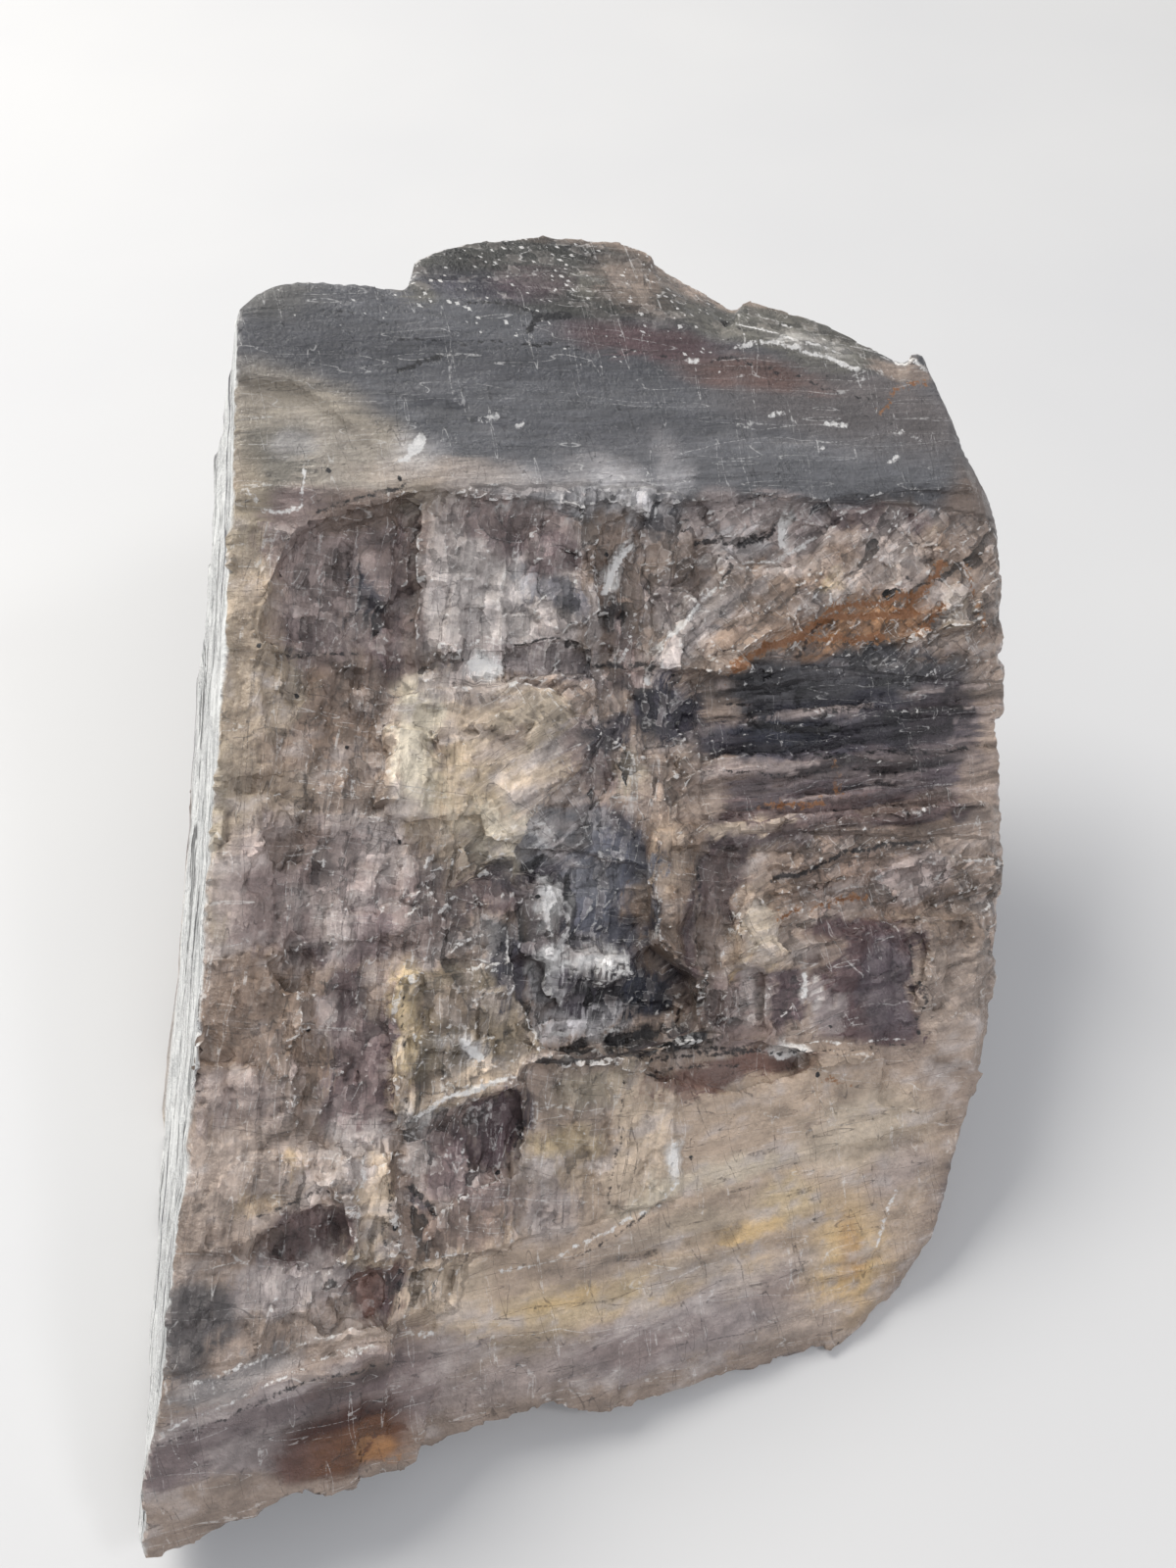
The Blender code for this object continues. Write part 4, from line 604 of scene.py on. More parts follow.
# The large smooth beige area at the foot, its yellow stains and the lilac lip.
FOOT_PATCHES = laid(
    ("foot_field", Tone.BEIGE, 11, -27, 19, 10.4, 6, 0.14, 0.97),
    ("foot_field_low_left", Tone.BEIGE, -6, -32, 7.4, 3.4, 8, 0.3, 0.9),
    ("foot_taupe_right", Tone.BEIGE, 22.6, -21.6, 6.6, 4.4, -6, 0.5, 0.85),
    ("foot_right_rim", Tone.TAUPE, 29.8, -18, 1.6, 3, 0, 0.5, 0.7),
    ("foot_right_low", Tone.PINK_GREY, 26, -25, 2.8, 1.6, 30, 0.5, 0.7),
    ("foot_right_light", Tone.CREAM_PALE, 23, -22, 4.6, 2.6, 14, 0.6, 0.4),
    ("foot_beige_step", Tone.TAN, 1.2, -18.2, 3.6, 1.5, 6, 0.4, 0.8),
    ("foot_streaks_grey", Tone.TAUPE, 1, -20, 3, 0.8, 8, 0.5, 0.8),
    ("foot_left_streaks", Tone.OLIVE, -1, -23.4, 3.4, 2.4, 6, 0.5, 0.6),
    ("foot_yellow_left", Tone.CREAM_YELLOW, -1.6, -22, 2.6, 1, 6, 0.5, 0.85),
    ("foot_white_left", Tone.PINK_PALE, -2.8, -24, 1.5, 0.9, 10, 0.4, 0.8),
    ("foot_grey_left", Tone.LILAC, -2.4, -27, 2.2, 2, 10, 0.5, 0.8),
    ("foot_cream_block", Tone.CREAM, 5, -22.4, 2.2, 4.6, 0, 0.3, 0.8, True),
    ("foot_white_ridge", Tone.POWDER_AND_HIGHLIGHT, 7.6, -23.6, 0.5, 1.4, 0, 0.4, 0.9),
    ("foot_cream_bend", Tone.CREAM_PALE, 5.6, -26.4, 3, 0.8, 24, 0.5, 0.7),
    ("foot_dark_line", Tone.TAUPE, 3.2, -30, 6.4, 0.8, 14, 0.5, 0.75),
    ("foot_olive_band", Tone.TAN, 7.6, -29.2, 7, 1, 13, 0.6, 0.5),
    ("foot_yellow_upper", Tone.CREAM_YELLOW, 16.8, -27, 2.4, 1.6, 10, 0.5, 0.85),
    ("foot_yellow_streak", Tone.YELLOW, 14, -29, 2.8, 0.7, 12, 0.6, 0.7),
    ("foot_yellow_band", Tone.CREAM_YELLOW, 3.4, -33, 9.6, 1.5, 9, 0.6, 0.85),
    ("foot_yellow_band_core", Tone.YELLOW, -0.6, -33.2, 3.2, 0.5, 14, 0.6, 0.6),
    ("foot_orange", Tone.YELLOW, 22, -31.6, 2.8, 4, 20, 0.7, 0.8),
    ("foot_orange_core", Tone.ORANGE, 22, -31, 1, 2.6, 16, 0.6, 0.45),
    ("foot_orange_low", Tone.BEIGE_PINK, 18.6, -36, 3.6, 1.6, 14, 0.5, 0.85),
    ("foot_cream_left", Tone.CREAM, -9.4, -32.6, 3.2, 2.4, 0, 0.4, 0.85),
    ("foot_grey_run", Tone.LILAC, -8, -36.6, 3, 1.2, 10, 0.5, 0.6),
    ("foot_olive_low", Tone.OLIVE, -2.6, -36.4, 3.6, 1.4, 12, 0.5, 0.6),
    ("foot_olive_spot", Tone.BROWN, -0.8, -36.4, 0.5, 0.5, 0, 0.5, 0.7),
    ("foot_cream_run", Tone.CREAM_PALE, 12, -24.6, 6, 0.9, 10, 0.6, 0.6),
    ("foot_pink_run", Tone.PINK_PALE, 15, -32.6, 5, 1, 14, 0.6, 0.6),
    ("foot_grey_cloud", Tone.LILAC, 9.4, -31.8, 3.4, 1, 12, 0.6, 0.6),
    ("foot_right_spot", Tone.OLIVE, 23, -29.6, 0.4, 0.3, 0, 0.5, 0.8),
    ("foot_low_spot", Tone.BROWN, 23.2, -33.6, 0.3, 0.3, 0, 0.5, 0.8),
    ("foot_high_spot", Tone.BROWN, 18.6, -21.4, 0.35, 0.25, 0, 0.5, 0.8),
    ("lilac_lip", Tone.LILAC, 7.6, -36.8, 9.4, 2.5, 9, 0.35, 0.95),
    ("lilac_lip_dark", Tone.MAUVE, 5.4, -37.2, 5.6, 1.3, 4, 0.6, 0.7),
    ("lilac_lip_right", Tone.MAUVE, 16.2, -33.4, 2.2, 1.5, 30, 0.5, 0.6),
    ("lip_left_grey", Tone.PINK_GREY, -5.4, -39.4, 5.4, 1.6, 12, 0.5, 0.7),
    ("dark_chamfer", Tone.TAUPE, 29.8, -28, 1.5, 4.4, -14, 0.4, 0.9),
    ("chamfer_shade", Tone.STRIATED, 30.6, -27.6, 0.8, 3.4, -14, 0.5, 0.6),
    ("foot_mid_shade", Tone.MAUVE, 3.6, -31.2, 3.4, 1.6, 14, 0.9, 0.35),
)

# Open cracks, deep seams and painted shadow lines under ledges: name, half width, points in the face frame.
CRACKS_AND_SHADOWS = (
    ("slate_high_left", 0.04, (-22, 38.2), (-18, 37.9), (-15, 37.5)),
    ("slate_high", 0.06, (-15, 36.4), (-10, 36.9), (-5, 37.6), (0, 37.7), (8, 38.2)),
    ("slate_bold", 0.15, (-15, 34.2), (-13.4, 34.8), (-11.5, 35.5)),
    ("slate_right", 0.12, (10, 38.4), (13, 38.5), (15.6, 38.1), (16, 37.6)),
    ("slate_right_tail", 0.04, (16, 37.9), (20, 37.2), (24, 37)),
    ("purple_pocket", 0.3, (-4.8, 38.6), (-4.2, 39.6), (-2.6, 40), (-1.6, 40.2)),
    ("hump_foot", 0.1, (-9.6, 40.2), (-6.4, 40.6), (-3.8, 39.8)),
    ("pale_chip_side", 0.05, (10.3, 44.6), (11, 42), (11.8, 39.4)),
    ("speckled_block_top", 0.12, (-20.3, 22.6), (-18, 23.9), (-14.2, 25.1)),
    ("speckled_block_foot", 0.08, (-22.6, 12.4), (-19.4, 12.8), (-16.8, 12.9)),
    ("plate_shadow", 0.18, (10, 24), (13.4, 24.2), (15.4, 24.9), (16.6, 26)),
    ("plate_gap", 0.05, (8.8, 25.4), (12, 26.6), (15, 27.4)),
    ("brown_block_side", 0.1, (11.4, 22.8), (12.2, 21.2), (10.8, 20.2)),
    ("crest_shade", 0.16, (-5, 14.5), (-1.4, 14.8), (0, 14.4), (0.8, 13.2), (5.2, 13.8), (6, 12.4)),
    ("rust_slab_crack", 0.12, (18, 15.2), (19, 16.6), (20.2, 18)),
    ("rust_hole", 0.1, (27.6, 22), (29.4, 21.9), (31, 22.6)),
    ("layered_high", 0.12, (12.6, 11.2), (20, 10.6), (25, 11.6)),
    ("layered_black", 0.24, (14, 9.4), (18, 9.2), (22, 9.8)),
    ("layered_middle", 0.14, (14, 7), (20, 7.2), (27, 7.9), (34, 8.6)),
    ("layered_low", 0.05, (10, 5.4), (18, 5.8), (30, 6.8)),
    ("brown_shadow", 0.16, (15.4, -3), (19.4, -1.8), (22, -0.6), (27, 0.4), (30, 0.8)),
    ("blade_gap", 0.12, (9.9, -1.6), (9.5, -6), (9.2, -10), (8.9, -13.6)),
    ("deep_crack", 0.3, (-3.6, -16.6), (-0.4, -16), (2.4, -15.2), (6, -14.5), (9.2, -14.6)),
    ("deep_crack_middle", 0.16, (0, -16.5), (4, -15.8), (8, -15.6), (14.6, -15.7)),
    ("deep_crack_low", 0.1, (4.6, -16.8), (9.6, -16.2), (14.6, -16), (20, -16)),
    ("deep_crack_end", 0.04, (19.4, -16.2), (23.6, -15.7), (27.4, -15.8)),
    ("red_slab_seam", 0.08, (5.4, -17.6), (9, -17), (13, -17)),
    ("purple_block_side", 0.07, (27.3, -6.8), (27.4, -10), (27.2, -15.4)),
    ("pocket_side", 0.09, (-4.4, -19), (-4.6, -23)),
    ("olive_block_side", 0.05, (-13.2, -12), (-13, -17), (-12.8, -20)),
    ("foot_step", 0.04, (3.2, -18), (3.1, -20), (2.8, -24), (2.6, -27)),
    ("foot_ridge_shade", 0.05, (7, -26.6), (4, -28.8), (0, -30.4)),
    ("dark_wedge_top", 0.05, (-25, -27.4), (-20, -25.6), (-17.4, -24.9)),
    ("pale_blade_side", 0.1, (-14, -25), (-14.2, -29)),
    ("black_chip", 0.24, (-12.2, -25.2), (-11.4, -25.8), (-10.6, -27)),
    ("brown_notch_side", 0.1, (-12.8, -30.4), (-12.9, -33.4)),
    ("lower_ledge_shade", 0.06, (-28.6, -41.2), (-24, -39.4), (-19, -37.4), (-13.4, -36.4)),
)

# Rust that has crept in along cracks.
VEINS = (
    ("rust_main", 0.34, (11.6, 13.4), (13.6, 14.7), (16, 15.9), (18.2, 16.8), (21, 18.6), (24.6, 18.8),
     (28.8, 19.5)),
    ("rust_second", 0.2, (17, 16.4), (20, 16.9), (23, 16.6), (26, 17.2)),
    ("rust_high", 0.2, (20.4, 19), (22.4, 19.9), (25.6, 20.2), (28.4, 20.8)),
    ("rust_loop", 0.26, (28, 20), (29.4, 21.2), (30.8, 22.8), (31.2, 24)),
    ("rust_end", 0.2, (28.6, 17.8), (30.4, 19), (31.4, 20.4)),
    ("rust_rim", 0.06, (33.4, 24), (34.6, 20.8), (35.2, 18.8)),
    ("rust_under_layers", 0.1, (14.8, 2.8), (17, 3.1), (19, 3.1), (20.2, 3.4)),
    ("rust_dots", 0.1, (21.4, 6.6), (21.6, 5.4), (21.8, 4.2)),
    ("red_crack", 0.05, (25, 35.7), (25.8, 37), (26.8, 38.1), (29.4, 39)),
    ("right_field_rust", 0.08, (15.6, -5.6), (19.6, -4.6), (24, -3.8)),
    ("foot_grain", 0.1, (19.6, -18.2), (21.2, -18.7)),
)

# Crushed white edges, painted glints where flats and edges catch the light, and the flakes that stand alone
# in the slate band.
RIDGES_AND_GLINTS = (
    ("chip_foot", 0.16, (12.2, 39.6), (15.6, 40.6), (19, 40), (23, 39.3), (25.6, 39.6)),
    ("chip_band", 0.1, (12.8, 42.2), (15.6, 41.8), (18.2, 40.9), (22, 40.5)),
    ("chip_tip", 0.2, (27.6, 40.9), (28.8, 40.6), (29.6, 40.2)),
    ("chip_rim", 0.05, (12.6, 44.2), (17, 42.8), (21.6, 41.6)),
    ("glassy_chip_foot", 0.1, (-25.4, 23.8), (-24.2, 23), (-22.6, 22.6), (-21.4, 23)),
    ("glassy_chip_side", 0.05, (-21.4, 23), (-21.3, 25), (-21.2, 27)),
    ("milk_edge", 0.06, (4.6, 28.6), (5.6, 26.4), (6.4, 24.8)),
    ("plate_edge", 0.1, (11.4, 22.2), (13.6, 22.6), (16, 23), (18.2, 24), (20, 25.2)),
    ("plate_low_edge", 0.05, (12.4, 21.4), (15, 21.8), (17.6, 23)),
    ("crescent", 0.26, (16.9, 24.4), (17.2, 25.6), (17, 26.4)),
    ("leaf_blade", 0.22, (2.2, 19.2), (3, 21), (4.2, 23)),
    ("crest", 0.05, (-11.6, 13.8), (-9.6, 14), (-6, 14.8), (-1, 15)),
    # Painted glints: white streaks where a flat catches the light.
    ("glint", 0.5, (-8.2, 12.6), (-7.2, 12.9), (-6.4, 12.4)),
    ("gap_blade", 0.1, (0.9, 13.2), (1.2, 15), (1.1, 17.4)),
    ("gap_blade_right", 0.05, (3.6, 13.6), (4.4, 15.6), (4.6, 17)),
    ("wedge_drop", 0.2, (5.4, 13.2), (5.8, 12.2)),
    ("wedge_side", 0.14, (5.6, 14.4), (7.6, 16.4), (9.6, 18.6), (11.6, 20.4)),
    ("hollow_head", 0.06, (-4.2, 1), (-2.4, 1.2), (-1.2, -0.4)),
    ("hollow_blade_rim", 0.1, (-4.4, -4.4), (-3.9, -3.4), (-1.1, -3.3), (-0.8, -5.4), (-0.6, -8.6)),
    ("hollow_blade_side", 0.08, (-5.3, -6.4), (-5.4, -10)),
    ("hollow_plate_foot", 0.14, (-1, -9.4), (1.6, -9.2), (3.4, -10), (5, -10.2)),
    ("hollow_plate_side", 0.08, (4, -8), (4.6, -10.2)),
    ("hollow_foot_edge", 0.1, (-3.6, -15.6), (-1, -14.8), (1, -14.6), (4.6, -14.2)),
    ("hollow_triangle", 0.2, (-1.6, -14), (-0.8, -14.6)),
    ("blade_face", 0.04, (5.7, -1.6), (6, -5), (5.6, -8.4)),
    ("tan_block_edge", 0.05, (13.2, -3.4), (12, -7), (11.4, -9.4)),
    ("mauve_block_edge", 0.14, (17.9, -10), (17.7, -12.2)),
    ("crack_chips", 0.2, (15.4, -15.9), (16.4, -16.3), (17.6, -15.9)),
    ("block_foot_edge", 0.04, (14.8, -15.2), (17, -15.6), (20, -15.3), (26.4, -15.2)),
    ("olive_shine", 0.3, (-9.2, -15.2), (-7.6, -16.2)),
    ("olive_ledge", 0.14, (-12.2, -20.4), (-10, -19), (-7, -18), (-5, -17.6)),
    ("left_streak", 0.05, (-13.2, -9.6), (-8.6, -8), (-5.4, -6.6)),
    ("pale_blade_edge", 0.08, (-15.7, -23), (-16, -29)),
    ("foot_ridge", 0.06, (7.8, -25), (6.4, -27.2), (3, -28.6), (-1.4, -30.3), (-5.4, -31.4)),
    ("foot_tongue", 0.16, (7.6, -22.4), (7.7, -24)),
    ("foot_chip_rim", 0.08, (26, -26.8), (25, -29), (24.6, -31)),
    ("cream_drip", 0.08, (-12.4, -34), (-11.6, -35.6), (-9, -35.4)),
    ("lower_ledge_rim", 0.03, (-28.6, -40.2), (-24, -38.4), (-19, -36.4), (-14.6, -35.4)),
    ("corner_streak", 0.05, (-27, -37.4), (-22, -35.6), (-17, -34.6)),
    ("flake_large", 0.42, (-13.6, 28.2), (-12.8, 28.9)),
    ("flake_under", 0.2, (-14.6, 27.2), (-13.8, 27.4)),
    ("flake_middle", 0.22, (-8.6, 31.2), (-7.4, 31.4)),
    ("flake_small", 0.14, (-5.9, 30.5), (-5.1, 30.9)),
    ("flake_purple", 0.16, (8, 37.8), (8.8, 38.1)),
    ("flake_long", 0.12, (15.2, 34.1), (16.6, 34.4)),
    ("flake_ragged", 0.16, (20.4, 33.9), (21.8, 34.5)),
    ("flake_dot", 0.14, (19.2, 32.2), (19.8, 32.3)),
    ("flake_hook", 0.14, (25.8, 31.2), (26.6, 31.8)),
    ("flake_right", 0.12, (27.8, 33.8), (28.8, 33.6)),
    ("flake_right_high", 0.1, (25.6, 34.1), (27, 34.2)),
)

# Where the flats are large and smooth, so that few steps show.
CALM_PATCHES = laid(
    ("cream_block", Tone.CREAM, -6.8, 4.6, 7.2, 5.6, 0, 0.2, 0.6, True),
    ("tan_corner", Tone.TAN, -22, 25, 7, 5, 0, 0.4, 0.8),
    ("right_blades", Tone.TAN, 11, -4.4, 6.6, 7, 0, 0.3, 0.55, True),
    ("purple_block", Tone.MAUVE, 23, -10.6, 5, 5.2, 0, 0.2, 0.8, True),
    ("right_block", Tone.TAN, 31, -10.6, 4, 5.6, 0, 0.2, 0.5, True),
    ("foot_step", Tone.CREAM, 2, -23, 7, 6, 0, 0.3, 0.45, True),
    ("pink_block", Tone.PINK_GREY, -7, 16.6, 5, 4.6, 0, 0.4, 0.25),
    ("crack_foot", Tone.BROWN_DARK, 13, -15.4, 3.4, 1.4, 0, 0.4, 0.9),
    ("left_pink_field", Tone.PINK_GREY, -20, -4, 6, 6, 0, 0.4, 0.35),
)


def blended(base: np.ndarray, tone: Tone, amount: np.ndarray) -> np.ndarray:
    """Mixes a tone into colours, by an amount from 0 to 1 for each."""
    return base + (np.array(linear(tone.value)) - base) * amount[:, None]


@dataclass(frozen=True)
class BlockKind:
    """One size of cleavage block or ledge: millimetres along and across, and how far blocks stand out."""

    size: Span
    seed: Seed
    lift: float = 0.0
    tilt: float = 0.0


LARGE = BlockKind((5.6, 3.8), Seed.LARGE_BLOCKS, 0.30, 0.07)
MEDIUM = BlockKind((3.1, 1.8), Seed.MEDIUM_BLOCKS, 0.20, 0.12)
SMALL = BlockKind((1.6, 0.9), Seed.SMALL_BLOCKS, 0.06, 0.10)
BESIDE = BlockKind((2.2, 1.3), Seed.BLOCKS_BESIDE)
THICK_LEDGE = BlockKind((9.0, 1.25), Seed.THICK_LEDGES)
THIN_LEDGE = BlockKind((9.0, 0.55), Seed.THIN_LEDGES)

# Where the cleavage streaks run another way: name, span of u, span of v, degrees from u.
STREAK_TURNS = (
    ("upper_right", (8, math.inf), (0, math.inf), 38),
    ("cream_block", (-9, 2), (-3, 12), 34),
    ("lower_right", (12, math.inf), (-math.inf, 0), 20),
)


@dataclass(frozen=True)
class Zones:
    """Borders of the face's zones in the face frame: where each zone starts, and where it is in full.

    The two facing spans are cosines, slate_slope is a rise for each millimetre to the right, and the rest
    are millimetres.
    """

    front_facing: Span = (0.15, 0.5)
    front_depth: Span = (-12.0, -8.0)
    side_facing: Span = (0.1, 0.4)
    side: Span = (-19.0, -22.0)
    slate_foot: float = 26.2
    slate_slope: float = 0.07
    slate_dip: float = 3.0
    slate_dip_side: Span = (-8.0, -20.0)
    slate_rim: Span = (-0.6, 0.9)
    layered_side: Span = (8.0, 12.0)
    layered_foot: Span = (-0.5, 2.5)
    layered_top: Span = (16.0, 13.0)
    foot_top: Span = (-15.0, -18.0)
    foot_side: Span = (-6.5, -3.5)
    foot_step_side: Span = (9.0, 7.0)
    foot_step_low: Span = (-29.5, -27.5)
    under_top: Span = (-31.0, -35.0)


@dataclass
class StoneSurface:
    """The stone's surface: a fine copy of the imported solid, its raised detail and its colours.

    Sizes are in millimetres and turns in degrees. front_facing is a cosine and softening a share of one.
    """

    solid: bpy.types.Object
    face: FaceFrame
    zones: Zones = Zones()
    voxel: float = 0.74
    front_cuts: int = 1
    front_facing: float = 0.42
    weld: float = 0.001
    softening: float = 0.25
    streak_turn: float = 86.0
    ledge_turn: float = 10.0
    fibre_heights: tuple[float, ...] = (-45.0, -18.0, 0.0, 30.0)
    fibre_turns: tuple[float, ...] = (15.0, 14.0, 9.0, 6.5)
    wander: float = 0.22
    rough_block: float = 8.5
    rough_chip: float = 3.2
    sheet: float = 0.9
    far_away: float = 9.0
    sharp_angle: float = 26.0
    mesh: bpy.types.Mesh = field(init=False)

    def build(self) -> bpy.types.Object:
        """Makes the piece.

        Returns:
            The finished object, at the origin, with its colours in attributes.
        """
        self.mesh = self.fine_copy()
        surface = self.resting_points()
        raised = self.raised(surface)
        self.place(raised)
        self.colour(surface)
        for polygon in self.mesh.polygons:
            polygon.use_smooth = True
        self.mesh.set_sharp_from_angle(angle=math.radians(self.sharp_angle))
        obj = bpy.data.objects.new("rough_feldspar", self.mesh)
        bpy.context.scene.collection.objects.link(obj)
        return obj

    def fine_copy(self) -> bpy.types.Mesh:
        """Copies the solid in small even faces, finer on the front, lying on the solid's own surface.

        Returns:
            The copy's mesh.
        """
        bm = bmesh.new()
        bm.from_mesh(self.solid.data)
        bmesh.ops.remove_doubles(bm, verts=bm.verts, dist=self.weld * MM)
        welded = bpy.data.meshes.new("welded_solid")
        bm.to_mesh(welded)
        tree = BVHTree.FromBMesh(bm)
        bm.free()

        carrier = bpy.data.objects.new("remesh_carrier", welded)
        bpy.context.scene.collection.objects.link(carrier)
        remesh = carrier.modifiers.new("even_faces", "REMESH")
        remesh.mode = "VOXEL"
        remesh.voxel_size = self.voxel * MM
        even = bpy.data.meshes.new_from_object(carrier.evaluated_get(bpy.context.evaluated_depsgraph_get()))
        bpy.data.objects.remove(carrier)
        bpy.data.meshes.remove(welded)

        out = self.face.axes()[2]
        bm = bmesh.new()
        bm.from_mesh(even)
        bpy.data.meshes.remove(even)
        front = [f for f in bm.faces if f.normal.dot(out) > self.front_facing]
        edges = list({e for f in front for e in f.edges})
        bmesh.ops.subdivide_edges(bm, edges=edges, cuts=self.front_cuts, use_grid_fill=True)
        bmesh.ops.triangulate(bm, faces=[f for f in bm.faces if len(f.verts) > 4])
        for vert in bm.verts:
            vert.co = tree.find_nearest(vert.co)[0]
        every_way = {"use_axis_x": True, "use_axis_y": True, "use_axis_z": True}
        bmesh.ops.smooth_vert(bm, verts=bm.verts, factor=self.softening, **every_way)
        mesh = bpy.data.meshes.new("rough_feldspar")
        bm.to_mesh(mesh)
        bm.free()
        return mesh

    def points_and_normals(self) -> list[np.ndarray]:
        """Places and directions of the mesh's points.

        Returns:
            Two arrays of three numbers in a row, in the row frame and in metres.
        """
        found = []
        for name in ("co", "normal"):
            flat = np.empty(len(self.mesh.vertices) * 3, np.float32)
            self.mesh.vertices.foreach_get(name, flat)
            found.append(flat.reshape(-1, 3).astype(float))
        return found

    def resting_points(self) -> dict[str, np.ndarray]:
        """Places, directions and zone weights of the surface before anything is raised on it.

        Returns:
            Arrays by name: co and normal in the row frame, zone weights, and the rest in millimetres.
        """
        co, normal = self.points_and_normals()
        points = self.face.face_points(co)
        facing = self.face.directions(normal)
        u, v, w = points.T
        z = self.zones
        front = smooth_step(*z.front_facing, facing[:, 2]) * smooth_step(*z.front_depth, w)
        left = smooth_step(*z.side_facing, -facing[:, 0]) * (1.0 - front) * smooth_step(*z.side, u)
        slow = layered_noise(points / 9.0, Seed.SLOW)
        dip = z.slate_dip * smooth_step(*z.slate_dip_side, u)
        slate = smooth_step(*z.slate_rim, v - (z.slate_foot + z.slate_slope * u - dip + slow * 1.2))
        layered = smooth_step(*z.layered_side, u) * smooth_step(*z.layered_foot, v)
        layered *= smooth_step(*z.layered_top, v)
        foot = smooth_step(*z.foot_top, v - 0.1 * u) * smooth_step(*z.foot_side, u - 0.2 * (v + 16.0))
        step = smooth_step(*z.foot_step_side, u + slow) * smooth_step(*z.foot_step_low, v - 0.2 * u)
        under = smooth_step(*z.under_top, v - 0.12 * u)
        fibrous = np.maximum(foot * (1.0 - 0.75 * step), under)
        s = {
            "co": co, "normal": normal, "points": points, "u": u, "v": v, "w": w,
            "front": front, "left": left, "slate": slate, "layered": layered * (1.0 - slate),
            "fibrous": fibrous, "blocky": (1.0 - slate) * (1.0 - layered) * (1.0 - fibrous),
        }
        s["grain"] = self.grain(s)
        return s

    def warped(self, points: np.ndarray, reach: float, period: float, seed: int) -> np.ndarray:
        """Points moved sideways by smooth noise, so that what is drawn on them has wandering edges."""
        shift = np.stack([layered_noise(points / period, seed + 7 * k, 2) for k in range(3)], axis=1)
        return points + reach * shift

    def fibre_frame(self, s: Arrays) -> tuple[np.ndarray, np.ndarray]:
        """Measures along and across the fibres, which rise to the right and steepen towards the foot.

        Args:
            s: The surface's arrays.

        Returns:
            Millimetres along the fibres and across them.
        """
        angle = np.radians(np.interp(s["v"], self.fibre_heights, self.fibre_turns))
        along = s["u"] * np.cos(angle) + s["v"] * np.sin(angle)
        across = -s["u"] * np.sin(angle) + s["v"] * np.cos(angle)
        return along, across

    def streaks(self, s: Arrays, period: Sequence[float], seed: int, octaves: int = 3) -> np.ndarray:
        """Smooth noise drawn out along the fibres.

        Args:
            s: The surface's arrays.
            period: Millimetres from one streak to the next along, across and into the stone.
            seed: Which set of streaks.
            octaves: At how many scales.

        Returns:
            One number for each point, from -1 to 1.
        """
        along, across = self.fibre_frame(s)
        return layered_noise(np.stack([along, across, s["w"]], axis=1) / np.array(period), seed, octaves)

    def grain(self, s: Arrays) -> np.ndarray:
        """Measures the cleavage streaks, which run their own way in each zone.

        Args:
            s: The surface's arrays.

        Returns:
            Millimetres along, across and into the streaks, three numbers in a row.
        """
        u, v, _ = self.warped(s["points"], 1.6, 4.0, Seed.GRAIN).T
        angle = np.full(len(u), self.streak_turn)
        for _, (left, right), (low, high), turn in STREAK_TURNS:
            angle[(u > left) & (u < right) & (v > low) & (v < high)] = turn
        angle[s["layered"] + s["fibrous"] + s["slate"] > 0.5] = self.ledge_turn
        run, rise = np.cos(np.radians(angle)), np.sin(np.radians(angle))
        return np.stack([s["u"] * run + s["v"] * rise, s["v"] * run - s["u"] * rise, s["w"]], axis=1)

    def front_cells(self, s: Arrays, kind: BlockKind) -> Cells:
        """Finds the cleavage blocks of the front, which run straight back into the stone.

        Args:
            s: The surface's arrays.
            kind: Which size of block.

        Returns:
            The blocks.
        """
        bent = self.warped(s["grain"], 0.12 * kind.size[1], 3.0 * kind.size[1], kind.seed)
        scaled = bent / np.array([*kind.size, 1.0])
        scaled[:, 2] = 0.5
        return cleavage_cells(scaled, kind.seed, (1, 1, 0))

    def terrace(self, s: Arrays, kind: BlockKind) -> tuple[np.ndarray, np.ndarray]:
        """Long ledges along the fibres.

        Args:
            s: The surface's arrays.
            kind: Which size of ledge.

        Returns:
            How far each point is from its ledge's foot to its top, from 0 to 1, and the ledge's own draw.
        """
        along, across = self.fibre_frame(s)
        length, step = kind.size
        rise = across / step + 1.3 * self.streaks(s, (11.0, 3.5, 50.0), kind.seed)
        which = np.floor(rise)
        broken = np.floor(along / length + 2.0 * drawn(np.stack([which] * 3, axis=1), kind.seed))
        return rise - which, drawn(np.stack([which, broken, which * 0], axis=1), kind.seed + 3)

    def raised(self, s: Arrays) -> np.ndarray:
        """Raises the steps, fibres, laminae and broken rims.

        Args:
            s: The surface's arrays.

        Returns:
            Where each point goes, in the row frame and in metres.
        """
        points = s["points"]
        fine = layered_noise(points / 0.9, Seed.FINE, 2)
        broad = layered_noise(points / 4.5, Seed.BROAD)
        blocks = np.zeros(len(points))
        for kind in (LARGE, MEDIUM, SMALL):
            cells = self.front_cells(s, kind)
            off = s["grain"][:, :2] - cells.centre[:, :2] * np.array(kind.size)
            slope = ((cells.draw[:, 1:] - 0.5) * off).sum(axis=1)
            blocks += kind.lift * (cells.draw[:, 0] - 0.5) * 2.0 + kind.tilt * 2.0 * slope
        saw, _ = self.terrace(s, THICK_LEDGE)
        ledges = smooth_step(0.0, 0.85, saw) - smooth_step(0.85, 1.0, saw)
        streak = self.streaks(s, (7.0, 0.62, 20.0), Seed.THIN_LEDGES)
        inner = 1.0 - 0.7 * smooth_step(27.0, 33.0, s["u"])

